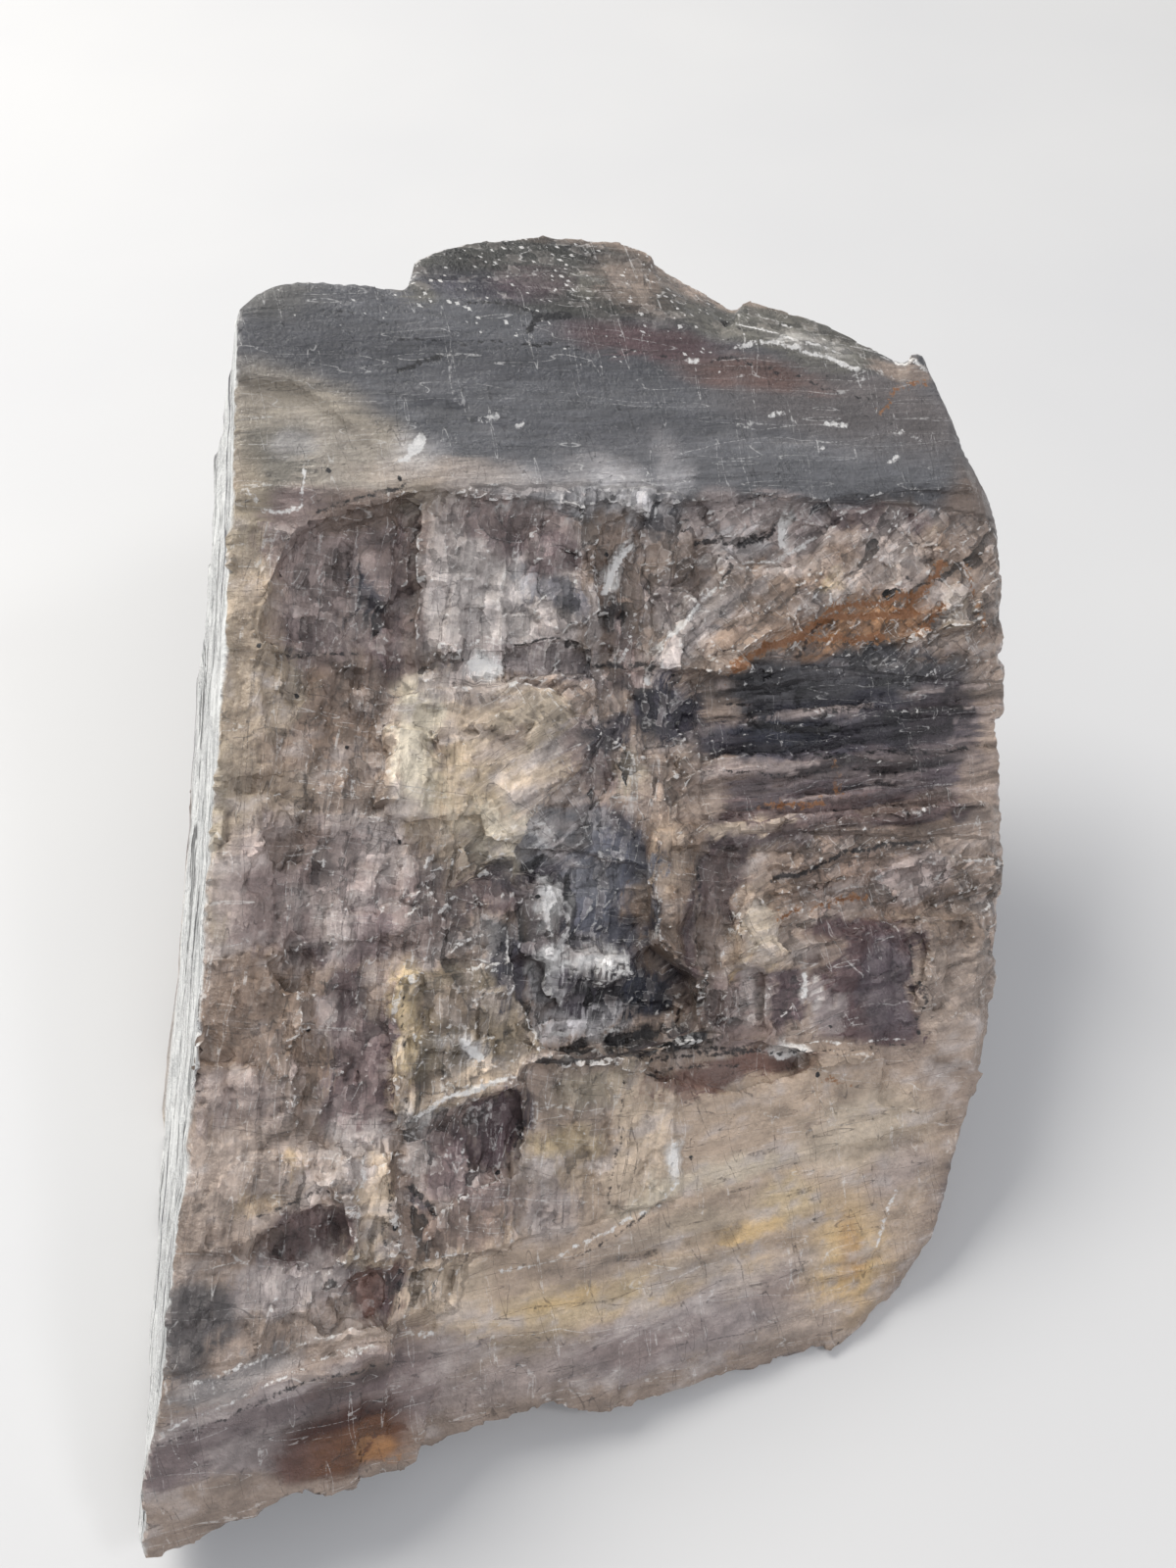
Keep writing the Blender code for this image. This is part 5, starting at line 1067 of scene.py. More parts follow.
        front = s["slate"] * (0.05 * blocks + 0.05 * streak)
        front += s["blocky"] * (0.85 * blocks + 0.05 * streak)
        front += s["layered"] * inner * (0.25 * blocks + 0.42 * ledges + 0.10 * streak)
        front += s["fibrous"] * (0.16 * blocks + 0.06 * ledges + 0.07 * streak)
        front += 0.12 * broad + 0.03 * fine
        stack = np.stack([s["w"] / self.sheet, s["v"] / 26.0, s["u"] * 0.1], axis=1)
        sheets = layered_noise(stack, Seed.SHEETS)
        bent = self.warped(points, 2.2, 7.0, Seed.ROUGH_EDGES)
        big = cleavage_cells(bent / self.rough_block, Seed.ROUGH_BLOCKS)
        small = cleavage_cells(bent / self.rough_chip, Seed.ROUGH_CHIPS)
        rough = 0.75 * (big.draw[:, 0] - 0.5) + 0.35 * (small.draw[:, 0] - 0.5) + 0.55 * broad + 0.10 * fine
        elsewhere = (1.0 - s["front"]) * (1.0 - s["left"]) * (0.3 + 0.7 * smooth_step(-1.0, -6.0, s["w"]))

        height = s["front"] * front + s["left"] * (0.22 * sheets + 0.05 * fine) + elsewhere * (rough - 0.35)
        sideways = np.stack([layered_noise(points / 3.4, Seed.WANDER + 5 * k, 2) for k in range(3)], axis=1)
        sideways *= (self.wander * (1.0 - 0.75 * s["slate"] * s["front"]))[:, None]
        return s["co"] + (s["normal"] * height[:, None] + sideways) * MM

    def place(self, co: np.ndarray) -> None:
        """Puts the points in place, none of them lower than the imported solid's foot.

        Args:
            co: Where each point goes, in the row frame and in metres.
        """
        co[:, 2] = np.maximum(co[:, 2], CAD_BOX[0].z)
        self.mesh.vertices.foreach_set("co", co.astype(np.float32).ravel())
        self.mesh.update()

    def bulge(self) -> np.ndarray:
        """Measures how much each point stands out from those beside it.

        Returns:
            One number for each point, above 0 on an edge and below 0 in a corner.
        """
        co, normal = self.points_and_normals()
        count = len(co)
        ends = np.empty(len(self.mesh.edges) * 2, np.int32)
        self.mesh.edges.foreach_get("vertices", ends)
        a, b = ends.reshape(-1, 2).T
        run = co[b] - co[a]
        run /= np.maximum(np.linalg.norm(run, axis=1), 1e-9)[:, None]
        total = np.bincount(a, -(normal[a] * run).sum(axis=1), count)
        total += np.bincount(b, (normal[b] * run).sum(axis=1), count)
        return total / np.maximum(np.bincount(ends, minlength=count), 1)

    def far_side(self, s: Arrays) -> np.ndarray:
        """Colours of the sides, back and underside: the same rock, cut through the other way.

        Args:
            s: The surface's arrays.

        Returns:
            Linear colours, three numbers in a row.
        """
        bent = self.warped(s["points"], 3.0, 9.0, Seed.BACK_EDGES)
        cells = cleavage_cells(bent / np.array([6.5, 4.2, 5.5]), Seed.BACK_BLOCKS)
        slow = layered_noise(bent / np.array([26.0, 12.0, 16.0]), Seed.BACK_CLOUDS)
        mix = slow + 0.55 * layered_noise(cells.centre * 0.8, Seed.BACK_TONES)
        colours = np.tile(np.array(linear(Tone.MAUVE.value)), (len(slow), 1))
        for tone, start, end in (
            (Tone.TAUPE, -0.1, 0.15),
            (Tone.BEIGE_PINK, 0.2, 0.42),
            (Tone.CREAM, 0.48, 0.62),
            (Tone.STRIATED, -0.12, -0.3),
            (Tone.CHARCOAL, -0.34, -0.5),
        ):
            colours = blended(colours, tone, smooth_step(start, end, mix))
        colours = blended(colours, Tone.SLATE, 0.8 * smooth_step(22.0, 28.0, s["v"] + 4.0 * slow))
        rust = smooth_step(0.34, 0.5, layered_noise(bent / 7.0, Seed.BACK_RUST, 4))
        return blended(colours, Tone.RUST, 0.8 * rust * smooth_step(0.0, 0.3, slow))

    def front_colours(self, u: np.ndarray, v: np.ndarray) -> np.ndarray:
        """The layout of the front's colours at points of the face.

        Args:
            u: The points' places along the face.
            v: The points' places up the face.

        Returns:
            Linear colours, three numbers in a row.
        """
        colours = np.tile(np.array(linear(Tone.TAUPE.value)), (len(u), 1))
        blocks = MIDDLE_PATCHES + LEFT_PATCHES + HOLLOW_PATCHES
        for patches, softness in ((UPPER_PATCHES, 1.0), (FOOT_PATCHES, 1.0), (blocks, 0.45)):
            for patch in patches:
                colours = blended(colours, patch.tone, patch.mask(u, v, softness))
        return colours

    def colour(self, s: Arrays) -> None:
        """Works out the colours, traces and finish weights and keeps them in the mesh's attributes.

        Args:
            s: The surface's arrays.
        """
        bulge = self.bulge()
        ragged = layered_noise(s["points"] / 1.1, Seed.FRONT_RIM)
        share = s["front"] + (1.0 - s["front"]) * smooth_step(-6.0, -2.5, s["w"] + 1.2 * ragged)
        self.keep_tones(s, bulge, share)
        self.keep_traces(s, share)
        self.keep_finish(s, bulge)

    def keep_tones(self, s: Arrays, bulge: np.ndarray, share: np.ndarray) -> None:
        """Keeps two layouts of colour, which the material mixes chip by chip.

        Args:
            s: The surface's arrays.
            bulge: How much each point stands out.
            share: How much of the front's layout shows at each point.
        """
        points = s["points"]
        streak = self.streaks(s, (9.0, 0.7, 20.0), Seed.STREAKS)
        _, ledge_draw = self.terrace(s, THICK_LEDGE)
        _, thin_draw = self.terrace(s, THIN_LEDGE)
        cloud = self.streaks(s, (4.2, 1.7, 4.0), Seed.CLOUDS, 4)
        cloud += 0.6 * self.streaks(s, (0.9, 0.6, 1.0), Seed.SMALL_CLOUDS, 2)
        clouded = 1.0 - 0.85 * s["slate"] - 0.75 * s["layered"]
        shade = 1.0 + s["blocky"] * 0.16 * (self.front_cells(s, MEDIUM).draw[:, 0] - 0.5)
        shade *= 1.0 + s["blocky"] * 0.34 * (self.front_cells(s, LARGE).draw[:, 1] - 0.5)
        shade *= 1.0 + s["layered"] * (0.9 * (ledge_draw - 0.45) + 0.9 * (thin_draw - 0.45))
        shade *= 1.0 + s["slate"] * (0.14 * streak + 0.10 * (thin_draw - 0.5))
        # Painted light: the blocky front is made lighter where it lies deep below the face, in the hollow and
        # on the floors of the ledges, against the shade there.
        shade *= 1.0 + 0.30 * smooth_step(-1.5, -5.0, s["w"]) * s["blocky"]
        shade *= 1.0 - 0.28 * clouded * smooth_step(-0.05, -0.6, cloud)
        pale_cloud = 0.70 * clouded * smooth_step(0.04, 0.60, cloud)
        light_ledge = 0.75 * s["layered"] * smooth_step(0.66, 0.8, thin_draw) * smooth_step(-0.2, 0.2, streak)
        tan_ledge = 0.6 * s["layered"] * smooth_step(0.25, 0.1, ledge_draw) * smooth_step(6.5, 3.0, s["v"])
        corner_shade = 1.0 - 0.30 * smooth_step(-0.14, -0.48, bulge)
        back = self.far_side(s)

        for name, reach, kind in (("tone", 0.8, MEDIUM), ("tone_beside", 1.8, BESIDE)):
            draw = self.front_cells(s, kind).draw
            drift = self.warped(points, reach, 5.0, Seed.TONE_EDGES + kind.seed) - points
            drift += self.warped(points, 0.5, 1.4, Seed.TONE_RIMS) - points
            jump = s["blocky"] * reach * 0.8
            u = s["u"] + drift[:, 0] + jump * (draw[:, 1] - 0.5)
            v = s["v"] + drift[:, 1] * (1.0 - 0.5 * s["slate"]) + jump * (draw[:, 2] - 0.5)
            tone = self.front_colours(u, v + 0.4 * streak) * shade[:, None]
            tone = blended(tone, Tone.PINK_GREY, light_ledge)
            tone = blended(tone, Tone.TAN_BROWN, tan_ledge)
            tone = blended(tone, Tone.PINK_PALE, pale_cloud * smooth_step(0.04, 0.26, tone.mean(axis=1)))
            tone = (back + (tone - back) * share[:, None]) * corner_shade[:, None]
            attribute = self.mesh.color_attributes.new(name, "FLOAT_COLOR", "POINT")
            full = np.ones((len(tone), 4), np.float32)
            full[:, :3] = np.clip(tone, 0.0, 1.0)
            attribute.data.foreach_set("color", full.ravel())

    def keep_traces(self, s: Arrays, share: np.ndarray) -> None:
        """Keeps how far each point is from the nearest crack, vein and ridge. The cracks include painted
        shadow lines under ledges, and the ridges painted glints.

        Args:
            s: The surface's arrays.
            share: How much of the front's layout shows at each point.
        """
        u, v, _ = self.warped(s["points"], 0.4, 2.0, Seed.TRACES).T
        for name, traces in (("crack", CRACKS_AND_SHADOWS), ("vein", VEINS), ("ridge", RIDGES_AND_GLINTS)):
            far = np.full(len(u), self.far_away)
            for _, half_width, *line in traces:
                far = np.minimum(far, distance_to(line, u, v) - half_width)
            self.keep(name, far + self.far_away * (1.0 - share))

    def keep_finish(self, s: Arrays, bulge: np.ndarray) -> None:
        """Keeps where the stone is fibrous, laminated, speckled and blocky, where its edges stand out for
        wear and painted highlights, and how its streaks run.

        Args:
            s: The surface's arrays.
            bulge: How much each point stands out.
        """
        calm = 0.3 * smooth_step(-11.0, -16.0, s["u"]) + 0.4 * smooth_step(-21.5, -23.5, s["u"])
        for patch in CALM_PATCHES:
            calm = np.maximum(calm, patch.mask(s["u"], s["v"]))
        fibrous = 0.28 * s["fibrous"] + s["layered"] + 0.7 * s["slate"] + 0.5 * s["blocky"]
        # More flecks along the top of the slate band, where they are painted glints as well as crushed
        # powder.
        slate_top = smooth_step(34.0, 40.0, s["v"]) * smooth_step(22.0, 6.0, s["u"])
        specks = 0.66 + 0.06 * s["blocky"] + 0.40 * slate_top
        # Edges that stand out: powdery wear, and painted highlights where the edges catch the light.
        worn = smooth_step(0.095, 0.43, bulge) * (0.8 - 0.4 * s["fibrous"] - 0.35 * s["layered"])
        hump = 0.6 * smooth_step(39.6, 41.2, s["v"])
        blocky = np.maximum(s["blocky"], hump) * s["front"] * (1.0 - calm)
        self.keep("fibrous", np.clip(fibrous, 0.0, 1.0) * s["front"])
        self.keep("laminated", s["left"] * smooth_step(-33.0, -28.0, s["w"]))
        self.keep("specks", specks * (1.0 - 0.35 * s["fibrous"] - 0.20 * calm))
        self.keep("worn", worn * (1.0 - 0.75 * calm))
        self.keep("blocky", np.clip(blocky + 0.6 * (1.0 - s["front"]), 0.0, 1.0))
        grain = self.mesh.attributes.new("grain", "FLOAT_VECTOR", "POINT")
        grain.data.foreach_set("vector", s["grain"].astype(np.float32).ravel())

    def keep(self, name: str, values: np.ndarray) -> None:
        """Stores one number for each point of the mesh."""
        attribute = self.mesh.attributes.new(name, "FLOAT", "POINT")
        attribute.data.foreach_set("value", values.astype(np.float32))


def add_node(
    tree: bpy.types.NodeTree,
    kind: str,
    *inputs: Any,
    named: Mapping[str | int, Any] | None = None,
    **settings: Any,
) -> Outputs:
    """Adds a shader node with its settings, and its inputs set or linked.

    Args:
        tree: The material's node tree.
        kind: The node's type name, without the ShaderNode that it starts with.
        inputs: Values for the node's first inputs in their own order, or the sockets that feed them.
        named: The same for other inputs, by name or number.
        settings: Values of the node's own properties.

    Returns:
        The node's outputs.
    """
    node = tree.nodes.new(f"ShaderNode{kind}")
    for name, value in settings.items():
        setattr(node, name, value)
    for key, value in [*enumerate(inputs), *(named or {}).items()]:
        if isinstance(value, bpy.types.NodeSocket):
            tree.links.new(value, node.inputs[key])
        else:
            node.inputs[key].default_value = value
    return node.outputs


def new_material(name: str) -> tuple[bpy.types.Material, AddNode]:
    """Makes an empty node material.

    Args:
        name: The material's name.

    Returns:
        The material, and the function that adds nodes to it.
    """
    material = bpy.data.materials.new(name)
    material.use_nodes = True
    material.node_tree.nodes.clear()
    return material, partial(add_node, material.node_tree)


@dataclass(frozen=True)
class CleavedFeldspar:
    """Rough cleaved feldspar, broken by hand and not polished.

    It shows glassy to satin flats that meet in crisp steps, painted shading flat by flat, powdery crushed
    edges and flecks with painted highlights and glints among them, hair-thin cleavage traces, painted shadow
    lines under ledges, silky fibres, and thin pale sheets with dark seams where the cleavage is cut across,
    their white partly a painted reflection of the bright surround.
    Sizes are in millimetres. The real sheets and fibres are too thin to be seen here, so they are drawn
    coarser.
    """

    face: FaceFrame
    ior: float = 1.53
    bump_depth: float = 0.30
    clouds_per_mm: float = 0.3
    grit_per_mm: float = 2.6
    dark_grains_per_mm: float = 0.3
    block: Span = (3.4, 1.9)
    chip: Span = (1.3, 0.7)
    crumb: Span = (0.55, 0.3)
    fibre_width: float = 0.42
    sheet_thickness: float = 1.5
    seam_spacing: float = 4.6
    fleck_spacing: float = 0.5
    flake_spacing: float = 2.1

    def material(self) -> bpy.types.Material:
        """Builds the node material.

        Returns:
            The material.
        """
        material, add = new_material("cleaved_feldspar")
        s = self.patterns(add)
        colour = self.body(add, s)
        for layer in (self.traced, self.flecked, self.worn_stained_and_painted_light, self.sheeted):
            colour = layer(add, s, colour)
        shader = add("BsdfPrincipled", colour, named={
            "Roughness": self.roughness(add, s), "Normal": self.relief(add, s), "IOR": self.ior,
        })
        add("OutputMaterial", shader["BSDF"])
        return material

    def laid_over(self, add: AddNode, colour: Socket, tone: Tone, *weights: Socket) -> Socket:
        """Lays a tone over a colour.

        Args:
            add: Adds a node to the material.
            colour: The colour so far.
            tone: The tone laid over it.
            weights: How much of the tone shows, as numbers that are multiplied.

        Returns:
            The new colour.
        """
        amount = weights[0]
        for weight in weights[1:]:
            amount = add("Math", amount, weight, operation="MULTIPLY")[0]
        return add("Mix", amount, named={6: colour, 7: (*linear(tone.value), 1.0)}, data_type="RGBA")[2]

    def patterns(self, add: AddNode) -> Sockets:
        """The places, kept numbers and cell patterns that the colour, gloss and relief share.

        Args:
            add: Adds a node to the material.

        Returns:
            Sockets by name. mm is the place in the face frame, in millimetres.
        """
        axes = self.face.axes()
        s = {"mm": add("Mapping", add("TexCoord")["Object"], named={
            "Location": tuple(-(axes @ Vector(self.face.origin))),
            "Rotation": tuple(axes.to_euler("XYZ")),
            "Scale": (1 / MM,) * 3,
        })[0]}
        for output, names in (
            ("Fac", ("fibrous", "blocky", "laminated", "specks", "worn", "crack", "vein", "ridge")),
            ("Vector", ("grain",)),
            ("Color", ("tone", "tone_beside")),
        ):
            s.update({name: add("Attribute", attribute_name=name)[output] for name in names})

        coarse = add("TexNoise", s["mm"], named={
            "Scale": self.clouds_per_mm, "Detail": 3, "Roughness": 0.5,
        })
        fine = add("TexNoise", s["mm"], named={"Scale": self.grit_per_mm, "Detail": 5, "Roughness": 0.65})
        s.update(coarse=coarse["Fac"], fine=fine["Fac"])
        for name, noise, reach, start in (
            ("bent", coarse, 1.6, "grain"), ("jagged", fine, 0.4, "mm"), ("ragged", fine, 0.45, "bent"),
        ):
            s[name] = add("VectorMath", noise["Color"], (reach,) * 3, s[start], operation="MULTIPLY_ADD")[0]

        for name, size, turn, inward in (
            ("block", self.block, 6.0, 0.25),
            ("chip", self.chip, -3.0, 0.25),
            ("crumb", self.crumb, 0.0, 0.6),
        ):
            place = add("Mapping", s["ragged"], named={
                "Rotation": (0, 0, math.radians(-turn)), "Scale": (1 / size[0], 1 / size[1], inward),
            })[0]
            first = add("TexVoronoi", place, named={"Scale": 1}, distance="CHEBYCHEV")
            parts = add("SeparateColor", first["Color"])
            s.update({f"{name}_{k}": parts[k] for k in range(3)})
            if name == "crumb":
                break
            second = add("TexVoronoi", place, named={"Scale": 1}, distance="CHEBYCHEV", feature="F2")
            s[f"{name}_border"] = add("Math", second["Distance"], first["Distance"], operation="SUBTRACT")[0]
            off = add("VectorMath", place, first["Position"], operation="SUBTRACT")[0]
            lean = add("VectorMath", first["Color"], (0.5,) * 3, operation="SUBTRACT")[0]
            s[f"{name}_slope"] = add("VectorMath", off, lean, operation="DOT_PRODUCT")["Value"]
            s[f"{name}_lean"] = lean

        width = self.fibre_width
        threads = add("Mapping", s["grain"], named={"Scale": (0.13 / width, 1 / width, 0.3 / width)})[0]
        s["threads"] = add("TexNoise", threads, named={
            "Scale": 1, "Detail": 5, "Roughness": 0.62, "Distortion": 0.25,
        })["Fac"]
        return s

    def body(self, add: AddNode, s: Sockets) -> Socket:
        """The rock's colour: two kept tones that meet in crisp chips and fibres, with painted shading flat by
        flat.

        Args:
            add: Adds a node to the material.
            s: The shared sockets.

        Returns:
            The colour.
        """
        jag = add("Math", s["fine"], 0.9, s["chip_0"], operation="MULTIPLY_ADD")[0]
        chips = add("MapRange", jag, 0.97, 1.02)[0]
        threads = add("MapRange", s["threads"], 0.47, 0.53)[0]
        pick = add("Mix", s["fibrous"], named={2: chips, 3: threads})[0]
        tone = add("Mix", pick, named={6: s["tone"], 7: s["tone_beside"]}, data_type="RGBA")[2]
        odd = add("Math", s["fine"], 0.5, s["chip_2"], operation="MULTIPLY_ADD")[0]
        for kept, start, end in ((Tone.PINK_PALE, 0.98, 1.10), (Tone.CHARCOAL, 0.44, 0.34)):
            some = add("MapRange", odd, start, end, 0, 0.2)[0]
            tone = self.laid_over(add, tone, kept, some, s["blocky"])

        # Painted shading: each block and chip lighter or darker as a whole, and shaded across towards one
        # side, as flats tilted to the light would be; fibres and mottle vary the tone as well.
        levels = []
        for name, half, slope in (("block", 0.35, 0.5), ("chip", 0.27, 0.35), ("crumb", 0.13, 0.0)):
            level = s[f"{name}_1"]
            if slope:
                level = add("Math", s[f"{name}_slope"], slope / half, level, operation="MULTIPLY_ADD")[0]
            levels.append((add("MapRange", level, 0, 1, -half, half, clamp=False)[0], s["blocky"]))
        levels.append((add("MapRange", s["threads"], 0.3, 0.7, -0.36, 0.36)[0], s["fibrous"]))
        mottle = add("Math", s["coarse"], 0.8, s["fine"], operation="MULTIPLY_ADD")[0]
        shade = add("MapRange", mottle, 0.6, 1.2, 0.76, 1.28, clamp=False)[0]
        for level, weight in levels:
            weighed = add("Math", level, weight, 1, operation="MULTIPLY_ADD")[0]
            shade = add("Math", shade, weighed, operation="MULTIPLY")[0]
        return add("VectorMath", tone, named={"Scale": shade}, operation="SCALE")[0]

    def traced(self, add: AddNode, s: Sockets, colour: Socket) -> Socket:
        """Cleavage traces: dark seams between flats, pale rims on them that are crushed powder and painted
        highlights, and hair-thin straight lines across them.

        Args:
            add: Adds a node to the material.
            s: The shared sockets.
            colour: The colour so far.

        Returns:
            The colour with the traces.
        """
        seam = add("MapRange", s["block_border"], 0.06, 0.015, 0, 0.5)[0]
        gap = add("MapRange", s["coarse"], 0.47, 0.55)[0]
        colour = self.laid_over(add, colour, Tone.BLACK, seam, gap, s["blocky"])
        # Pale rims on some chips: crushed powder, and painted highlights on edges that catch the light.
        rim = add("MapRange", s["chip_border"], 0.15, 0.04, 0, 0.32)[0]
        some = add("MapRange", s["chip_2"], 0.74, 0.86)[0]
        torn = add("MapRange", s["fine"], 0.46, 0.54)[0]
        colour = self.laid_over(add, colour, Tone.POWDER_AND_HIGHLIGHT, rim, some, torn, s["blocky"])

        here = add("MapRange", s["fine"], 0.44, 0.54)[0]
        for tone, turn, scale, level, half_width, strength in (
            (Tone.POWDER_AND_HIGHLIGHT, 90, (0.10, 0.8, 0.2), 0.36, 0.008, 0.4),
            (Tone.BLACK, 0, (0.08, 0.9, 0.2), 0.60, 0.010, 0.55),
            (Tone.POWDER_AND_HIGHLIGHT, 4, (0.09, 0.7, 0.2), 0.42, 0.007, 0.4),
            (Tone.BLACK, 86, (0.10, 0.6, 0.2), 0.41, 0.008, 0.5),
        ):
            turned = add("Mapping", s["grain"], named={"Rotation": (0, 0, math.radians(turn))})[0]
            place = add("Mapping", turned, named={"Scale": scale})[0]
            wave = add("TexNoise", place, named={"Scale": 1, "Detail": 1})["Fac"]
            far = add("Math", wave, level, operation="SUBTRACT")[0]
            far = add("Math", far, operation="ABSOLUTE")[0]
            line = add("MapRange", far, half_width, 0.4 * half_width, 0, strength)[0]
            colour = self.laid_over(add, colour, tone, line, here)
        return colour

    def flecked(self, add: AddNode, s: Sockets, colour: Socket) -> Socket:
        """White flecks of two sizes, crushed powder and painted glints, thickest along the top of the slate
        band, and rare dark grains.

        Args:
            add: Adds a node to the material.
            s: The shared sockets.
            colour: The colour so far.

        Returns:
            The colour with the flecks.
        """
        turned = add("Mapping", s["jagged"], named={"Rotation": (0, 0, math.radians(23))})[0]
        for spacing, reach, strength in ((self.fleck_spacing, 0.50, 0.7), (self.flake_spacing, 0.27, 0.85)):
            place = add("Mapping", turned, named={"Scale": (0.8 / spacing, 1.3 / spacing, 1 / spacing)})[0]
            spots = add("TexVoronoi", place, named={"Scale": 1}, distance="MANHATTAN")
            draw = add("SeparateColor", spots["Color"])[0]
            thick = add("Math", draw, s["specks"], operation="MULTIPLY")[0]
            size = add("MapRange", thick, 0.60, 1, 0, reach)[0]
            inside = add("Math", size, spots["Distance"], operation="SUBTRACT")[0]
            mask = add("MapRange", inside, 0, 0.04, 0, strength)[0]
            colour = self.laid_over(add, colour, Tone.POWDER_AND_HIGHLIGHT, mask)
        grains = add("TexVoronoi", s["jagged"], named={"Scale": self.dark_grains_per_mm})
        draw = add("SeparateColor", grains["Color"])[1]
        few = add("Math", draw, 0.6, operation="GREATER_THAN")[0]
        near = add("MapRange", grains["Distance"], 0.07, 0.05)[0]
        return self.laid_over(add, colour, Tone.BLACK, near, few)

    def worn_stained_and_painted_light(self, add: AddNode, s: Sockets, colour: Socket) -> Socket:
        """Powdery worn edges with painted highlights, pale ridges with painted glints, rust veins, and open
        cracks with painted shadow lines, each with a ragged rim.

        Args:
            add: Adds a node to the material.
            s: The shared sockets.
            colour: The colour so far.

        Returns:
            The colour with the wear and stains.
        """
        rough = add("MapRange", s["fine"], 0.3, 0.7, -0.5, 0.5, clamp=False)[0]
        # Edges that stand out get powder: wear, and painted highlights.
        worn = add("Math", rough, 0.8, s["worn"], operation="MULTIPLY_ADD")[0]
        worn = add("MapRange", worn, 0.52, 0.60, 0, 0.6)[0]
        colour = self.laid_over(add, colour, Tone.POWDER_AND_HIGHLIGHT, worn)
        for name, tone, stray, broken, strength in (
            # White lines: crushed edges, and painted glints.
            ("ridge", Tone.POWDER_AND_HIGHLIGHT, 0.35, 0.42, 0.85),
            ("vein", Tone.ORANGE, 1.1, 0.38, 0.75),
            ("vein", Tone.RUST, 0.5, 0.42, 0.9),
            # Black lines: open cracks, and painted shadows under ledges.
            ("crack", Tone.BLACK, 0.35, 0.36, 0.88),
        ):
            far = add("Math", rough, stray, s[name], operation="MULTIPLY_ADD")[0]
            line = add("MapRange", far, 0.07, -0.05, 0, strength)[0]
            gap = add("MapRange", s["coarse"], broken - 0.05, broken + 0.03)[0]
            colour = self.laid_over(add, colour, tone, line, gap)
        return colour

    def sheeted(self, add: AddNode, s: Sockets, colour: Socket) -> Socket:
        """The left side's stacked pale sheets with dark seams between them, their white partly a painted
        reflection of the bright surround on the glossy side.

        Args:
            add: Adds a node to the material.
            s: The shared sockets.
            colour: The colour so far.

        Returns:
            The colour with the sheets.
        """
        place = add("Mapping", s["mm"], named={"Scale": (0.2, 0.022, 1 / self.sheet_thickness)})[0]
        stack = add("TexNoise", place, named={"Scale": 1, "Detail": 5, "Roughness": 0.72})["Fac"]
        level = add("Math", s["coarse"], 0.10, stack, operation="MULTIPLY_ADD")[0]
        sheets = add("ValToRGB", level)[0]
        elements = sheets.node.color_ramp.elements
        # Dark seams between the sheets; the whites are partly a painted reflection of the bright surround.
        stops = (
            (0.39, Tone.CHARCOAL), (0.42, Tone.SLATE_PALE), (0.45, Tone.SHEET_SHEEN), (0.50, Tone.SHEET_SHEEN_PALE),
            (0.55, Tone.SHEET_SHEEN), (0.558, Tone.CHARCOAL), (0.572, Tone.SHEET_SHEEN_PALE), (0.62, Tone.SHEET_SHEEN),
            (0.640, Tone.BLACK), (0.665, Tone.SHEET_SHEEN),
        )
        while len(elements) < len(stops):
            elements.new(0.5)
        for element, (position, tone) in zip(elements, stops):
            element.position = position
            element.color = (*linear(tone.value), 1.0)

        depth = add("SeparateXYZ", s["mm"])[2]
        run = add("Math", depth, 1 / self.seam_spacing, operation="MULTIPLY")[0]
        run = add("Math", stack, 1.7, run, operation="MULTIPLY_ADD")[0]
        run = add("Math", run, operation="FRACT")[0]
        seam = add("MapRange", run, 0.19, 0.12, 0, 0.85)[0]
        some = add("MapRange", s["coarse"], 0.42, 0.50)[0]
        sheets = self.laid_over(add, sheets, Tone.BLACK, seam, some)
        return add("Mix", s["laminated"], named={6: colour, 7: sheets}, data_type="RGBA")[2]

    def roughness(self, add: AddNode, s: Sockets) -> Socket:
        """How rough the surface is: glassy on some flats, satin on others, and duller on worn edges, which
        also carry painted highlights.

        Args:
            add: Adds a node to the material.
            s: The shared sockets.

        Returns:
            The roughness.
        """
        gloss = add("Math", s["fine"], 0.5, s["chip_2"], operation="MULTIPLY_ADD")[0]
        rough = add("MapRange", gloss, 0.35, 1.1, 0.18, 0.60)[0]
        return add("Math", s["worn"], 0.25, rough, operation="MULTIPLY_ADD")[0]

    def relief(self, add: AddNode, s: Sockets) -> Socket:
        """The normal: flats turned each its own way, with grain and fibres too small for the mesh.

        Args:
            add: Adds a node to the material.
            s: The shared sockets.

        Returns:
            The normal.
        """
        normal = add("NewGeometry")["Normal"]
        for name, amount in (("block_lean", 0.34), ("chip_lean", 0.42)):
            weight = add("Math", s["blocky"], amount, 0.04, operation="MULTIPLY_ADD")[0]
            tilt = add("VectorMath", s[name], named={"Scale": weight}, operation="SCALE")[0]
            normal = add("VectorMath", normal, tilt, operation="ADD")[0]
        unit = add("VectorMath", normal, operation="NORMALIZE")[0]
        silk = add("Math", s["threads"], s["fibrous"], operation="MULTIPLY")[0]
        height = add("Math", silk, 0.8, s["fine"], operation="MULTIPLY_ADD")[0]
        return add("Bump", named={
            "Height": height, "Strength": 0.8, "Distance": self.bump_depth * MM, "Normal": unit,
        })[0]


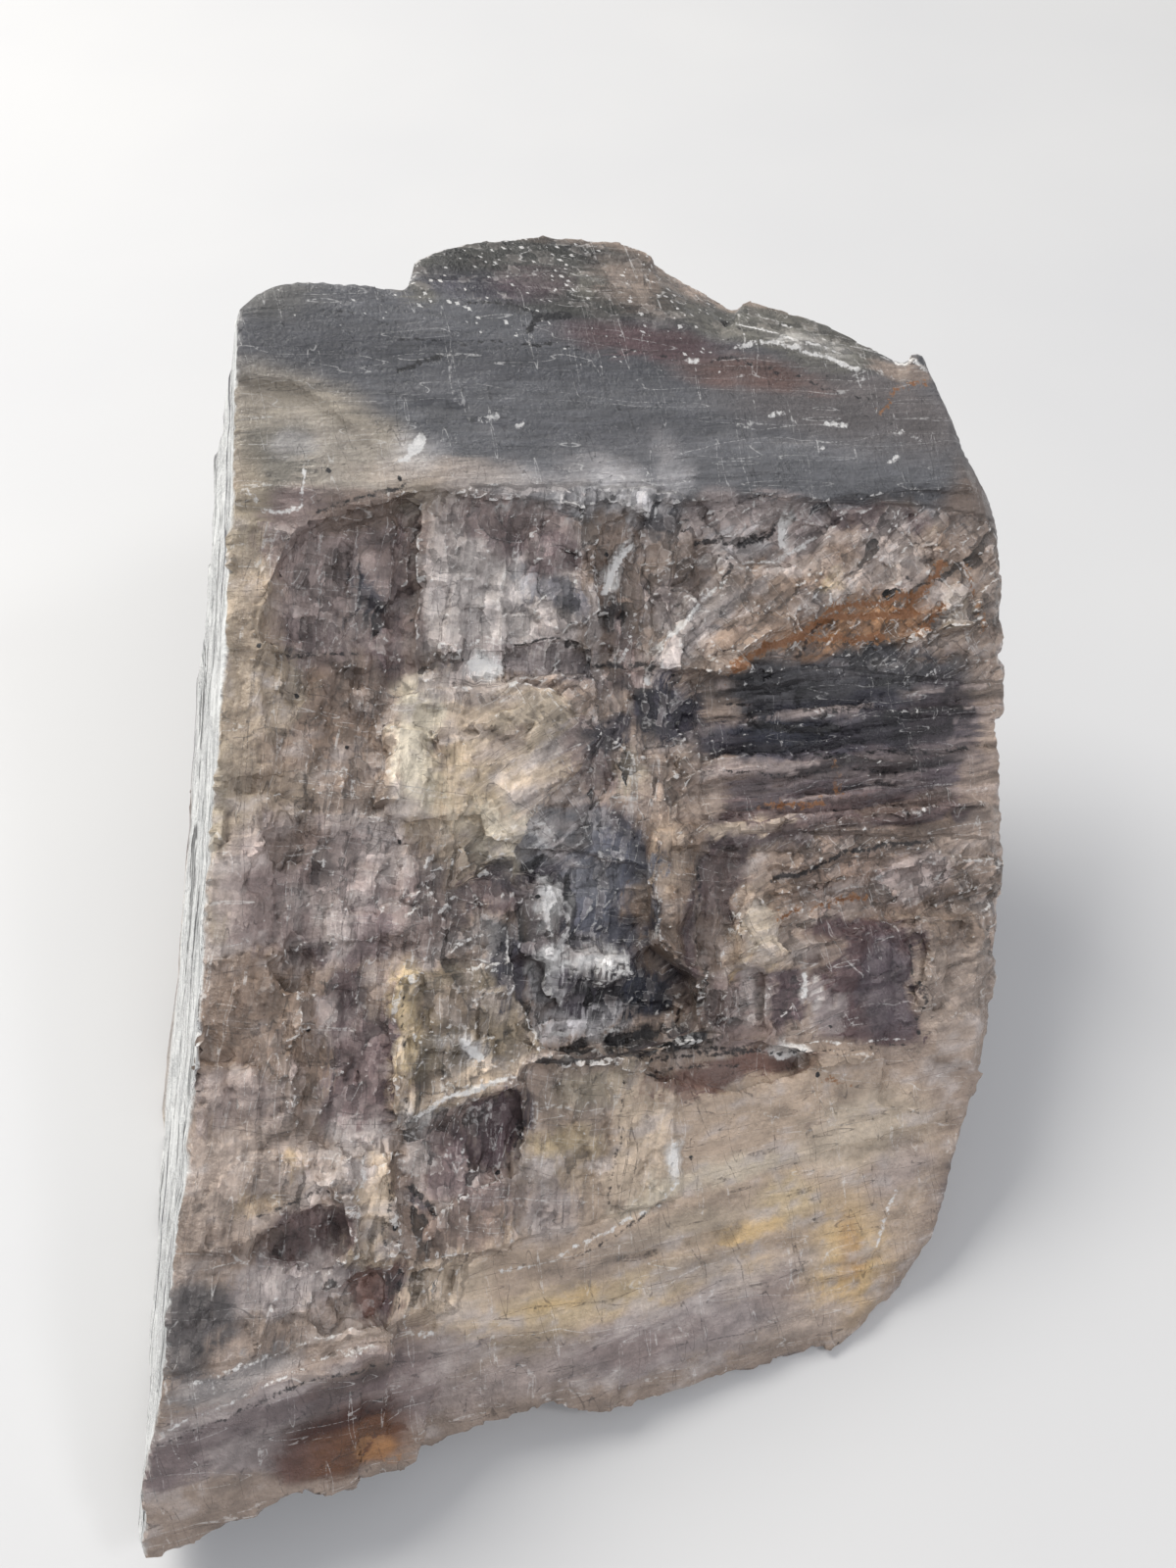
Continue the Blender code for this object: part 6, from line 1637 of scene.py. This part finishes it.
@dataclass(frozen=True)
class MatteFloor:
    """Matte painted board: an even pale grey that shows no reflections, with faint slow clouds."""

    tones: tuple[str, str] = ("#b9b9bb", "#c6c5c4")
    clouds_per_metre: float = 14.0
    roughness: float = 0.6

    def material(self) -> bpy.types.Material:
        """Builds the node material.

        Returns:
            The material.
        """
        material, add = new_material("matte_floor")
        clouds = add("TexNoise", add("TexCoord")["Object"], named={
            "Scale": self.clouds_per_metre, "Detail": 3,
        })["Fac"]
        dark, light = ((*linear(tone), 1.0) for tone in self.tones)
        shade = add("Mix", clouds, named={6: dark, 7: light}, data_type="RGBA")[2]
        shader = add("BsdfPrincipled", shade, named={"Roughness": self.roughness})
        add("OutputMaterial", shader["BSDF"])
        return material


@dataclass
class Studio:
    """A pale floor, soft light and the camera that looks down on the front face.

    The floor, the lit point and nearest_seen are in metres, and the sensor and the camera's place in
    millimetres.
    """

    face: FaceFrame
    floor_half: float = 1.5
    focal_pixels: float = 1500.0
    image_height: float = 1600.0
    sensor: float = 36.0
    distance: float = 108.0
    shift_up: float = 3.6
    nearest_seen: float = 0.002
    lit_point: tuple[float, float, float] = (0.0, 0.0, 0.02)
    sky_strength: float = 0.62
    sky_tone: str = "#dfe1e4"

    def build(self) -> None:
        """Makes the floor, lights, sky and camera."""
        self.floor()
        self.lights()
        self.sky()
        self.camera()

    def floor(self) -> None:
        """The plain pale floor, at the stone's foot."""
        bm = bmesh.new()
        bmesh.ops.create_grid(bm, x_segments=1, y_segments=1, size=self.floor_half)
        mesh = bpy.data.meshes.new("pale_floor")
        bm.to_mesh(mesh)
        bm.free()
        obj = bpy.data.objects.new("pale_floor", mesh)
        bpy.context.scene.collection.objects.link(obj)
        mesh.materials.append(MatteFloor().material())

    def lights(self) -> None:
        """A broad key from the upper left, a weak front fill, and a small one that flats flash in."""
        for name, place, power, size, tint in (
            ("key_upper_left", (-0.34, 0.30, 0.52), 5.4, 0.4, "#fffdf8"),
            ("small_glint", (0.386, -0.202, 0.547), 0.8, 0.1, "#fbfcff"),
            ("front_fill", (0.28, -0.45, 0.55), 1.6, 0.5, "#f4f7ff"),
        ):
            data = bpy.data.lights.new(name, "AREA")
            data.energy = power
            data.size = size
            data.color = linear(tint)
            obj = bpy.data.objects.new(name, data)
            bpy.context.scene.collection.objects.link(obj)
            obj.location = place
            obj.rotation_euler = (Vector(self.lit_point) - obj.location).to_track_quat("-Z", "Y").to_euler()

    def sky(self) -> None:
        """Even grey light from all round."""
        world = bpy.data.worlds.new("soft_surround")
        bpy.context.scene.world = world
        world.use_nodes = True
        background = world.node_tree.nodes["Background"]
        background.inputs["Color"].default_value = (*linear(self.sky_tone), 1.0)
        background.inputs["Strength"].default_value = self.sky_strength

    def camera(self) -> None:
        """The camera, square to the picture that the face frame is measured in."""
        down = self.face.look_down
        up = Vector((0.0, math.sin(down), math.cos(down)))
        back = Vector((0.0, -math.cos(down), math.sin(down)))
        place = (Vector(self.face.origin) + up * self.shift_up + back * self.distance) * MM
        data = bpy.data.cameras.new("camera")
        data.sensor_fit = "AUTO"
        data.sensor_width = self.sensor
        data.lens = self.focal_pixels / self.image_height * self.sensor
        data.clip_start = self.nearest_seen
        camera = bpy.data.objects.new("camera", data)
        bpy.context.scene.collection.objects.link(camera)
        right = Vector((1.0, 0.0, 0.0))
        camera.matrix_world = Matrix((right, up, back)).transposed().to_4x4()
        camera.location = place
        bpy.context.scene.camera = camera


def main() -> None:
    """Dresses the stone and sets the studio round it."""
    logging.basicConfig(level=logging.INFO, format="%(message)s")
    face = FaceFrame()
    stone = StoneSurface(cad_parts["moonstone"], face).build()
    stone.data.materials.append(CleavedFeldspar(face).material())
    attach(stone, "root")
    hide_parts("moonstone")
    log.info("%s: %d faces", stone.name, len(stone.data.polygons))
    Studio(face).build()
    bpy.context.scene.view_settings.view_transform = "Standard"


if __name__ == "__main__":
    main()
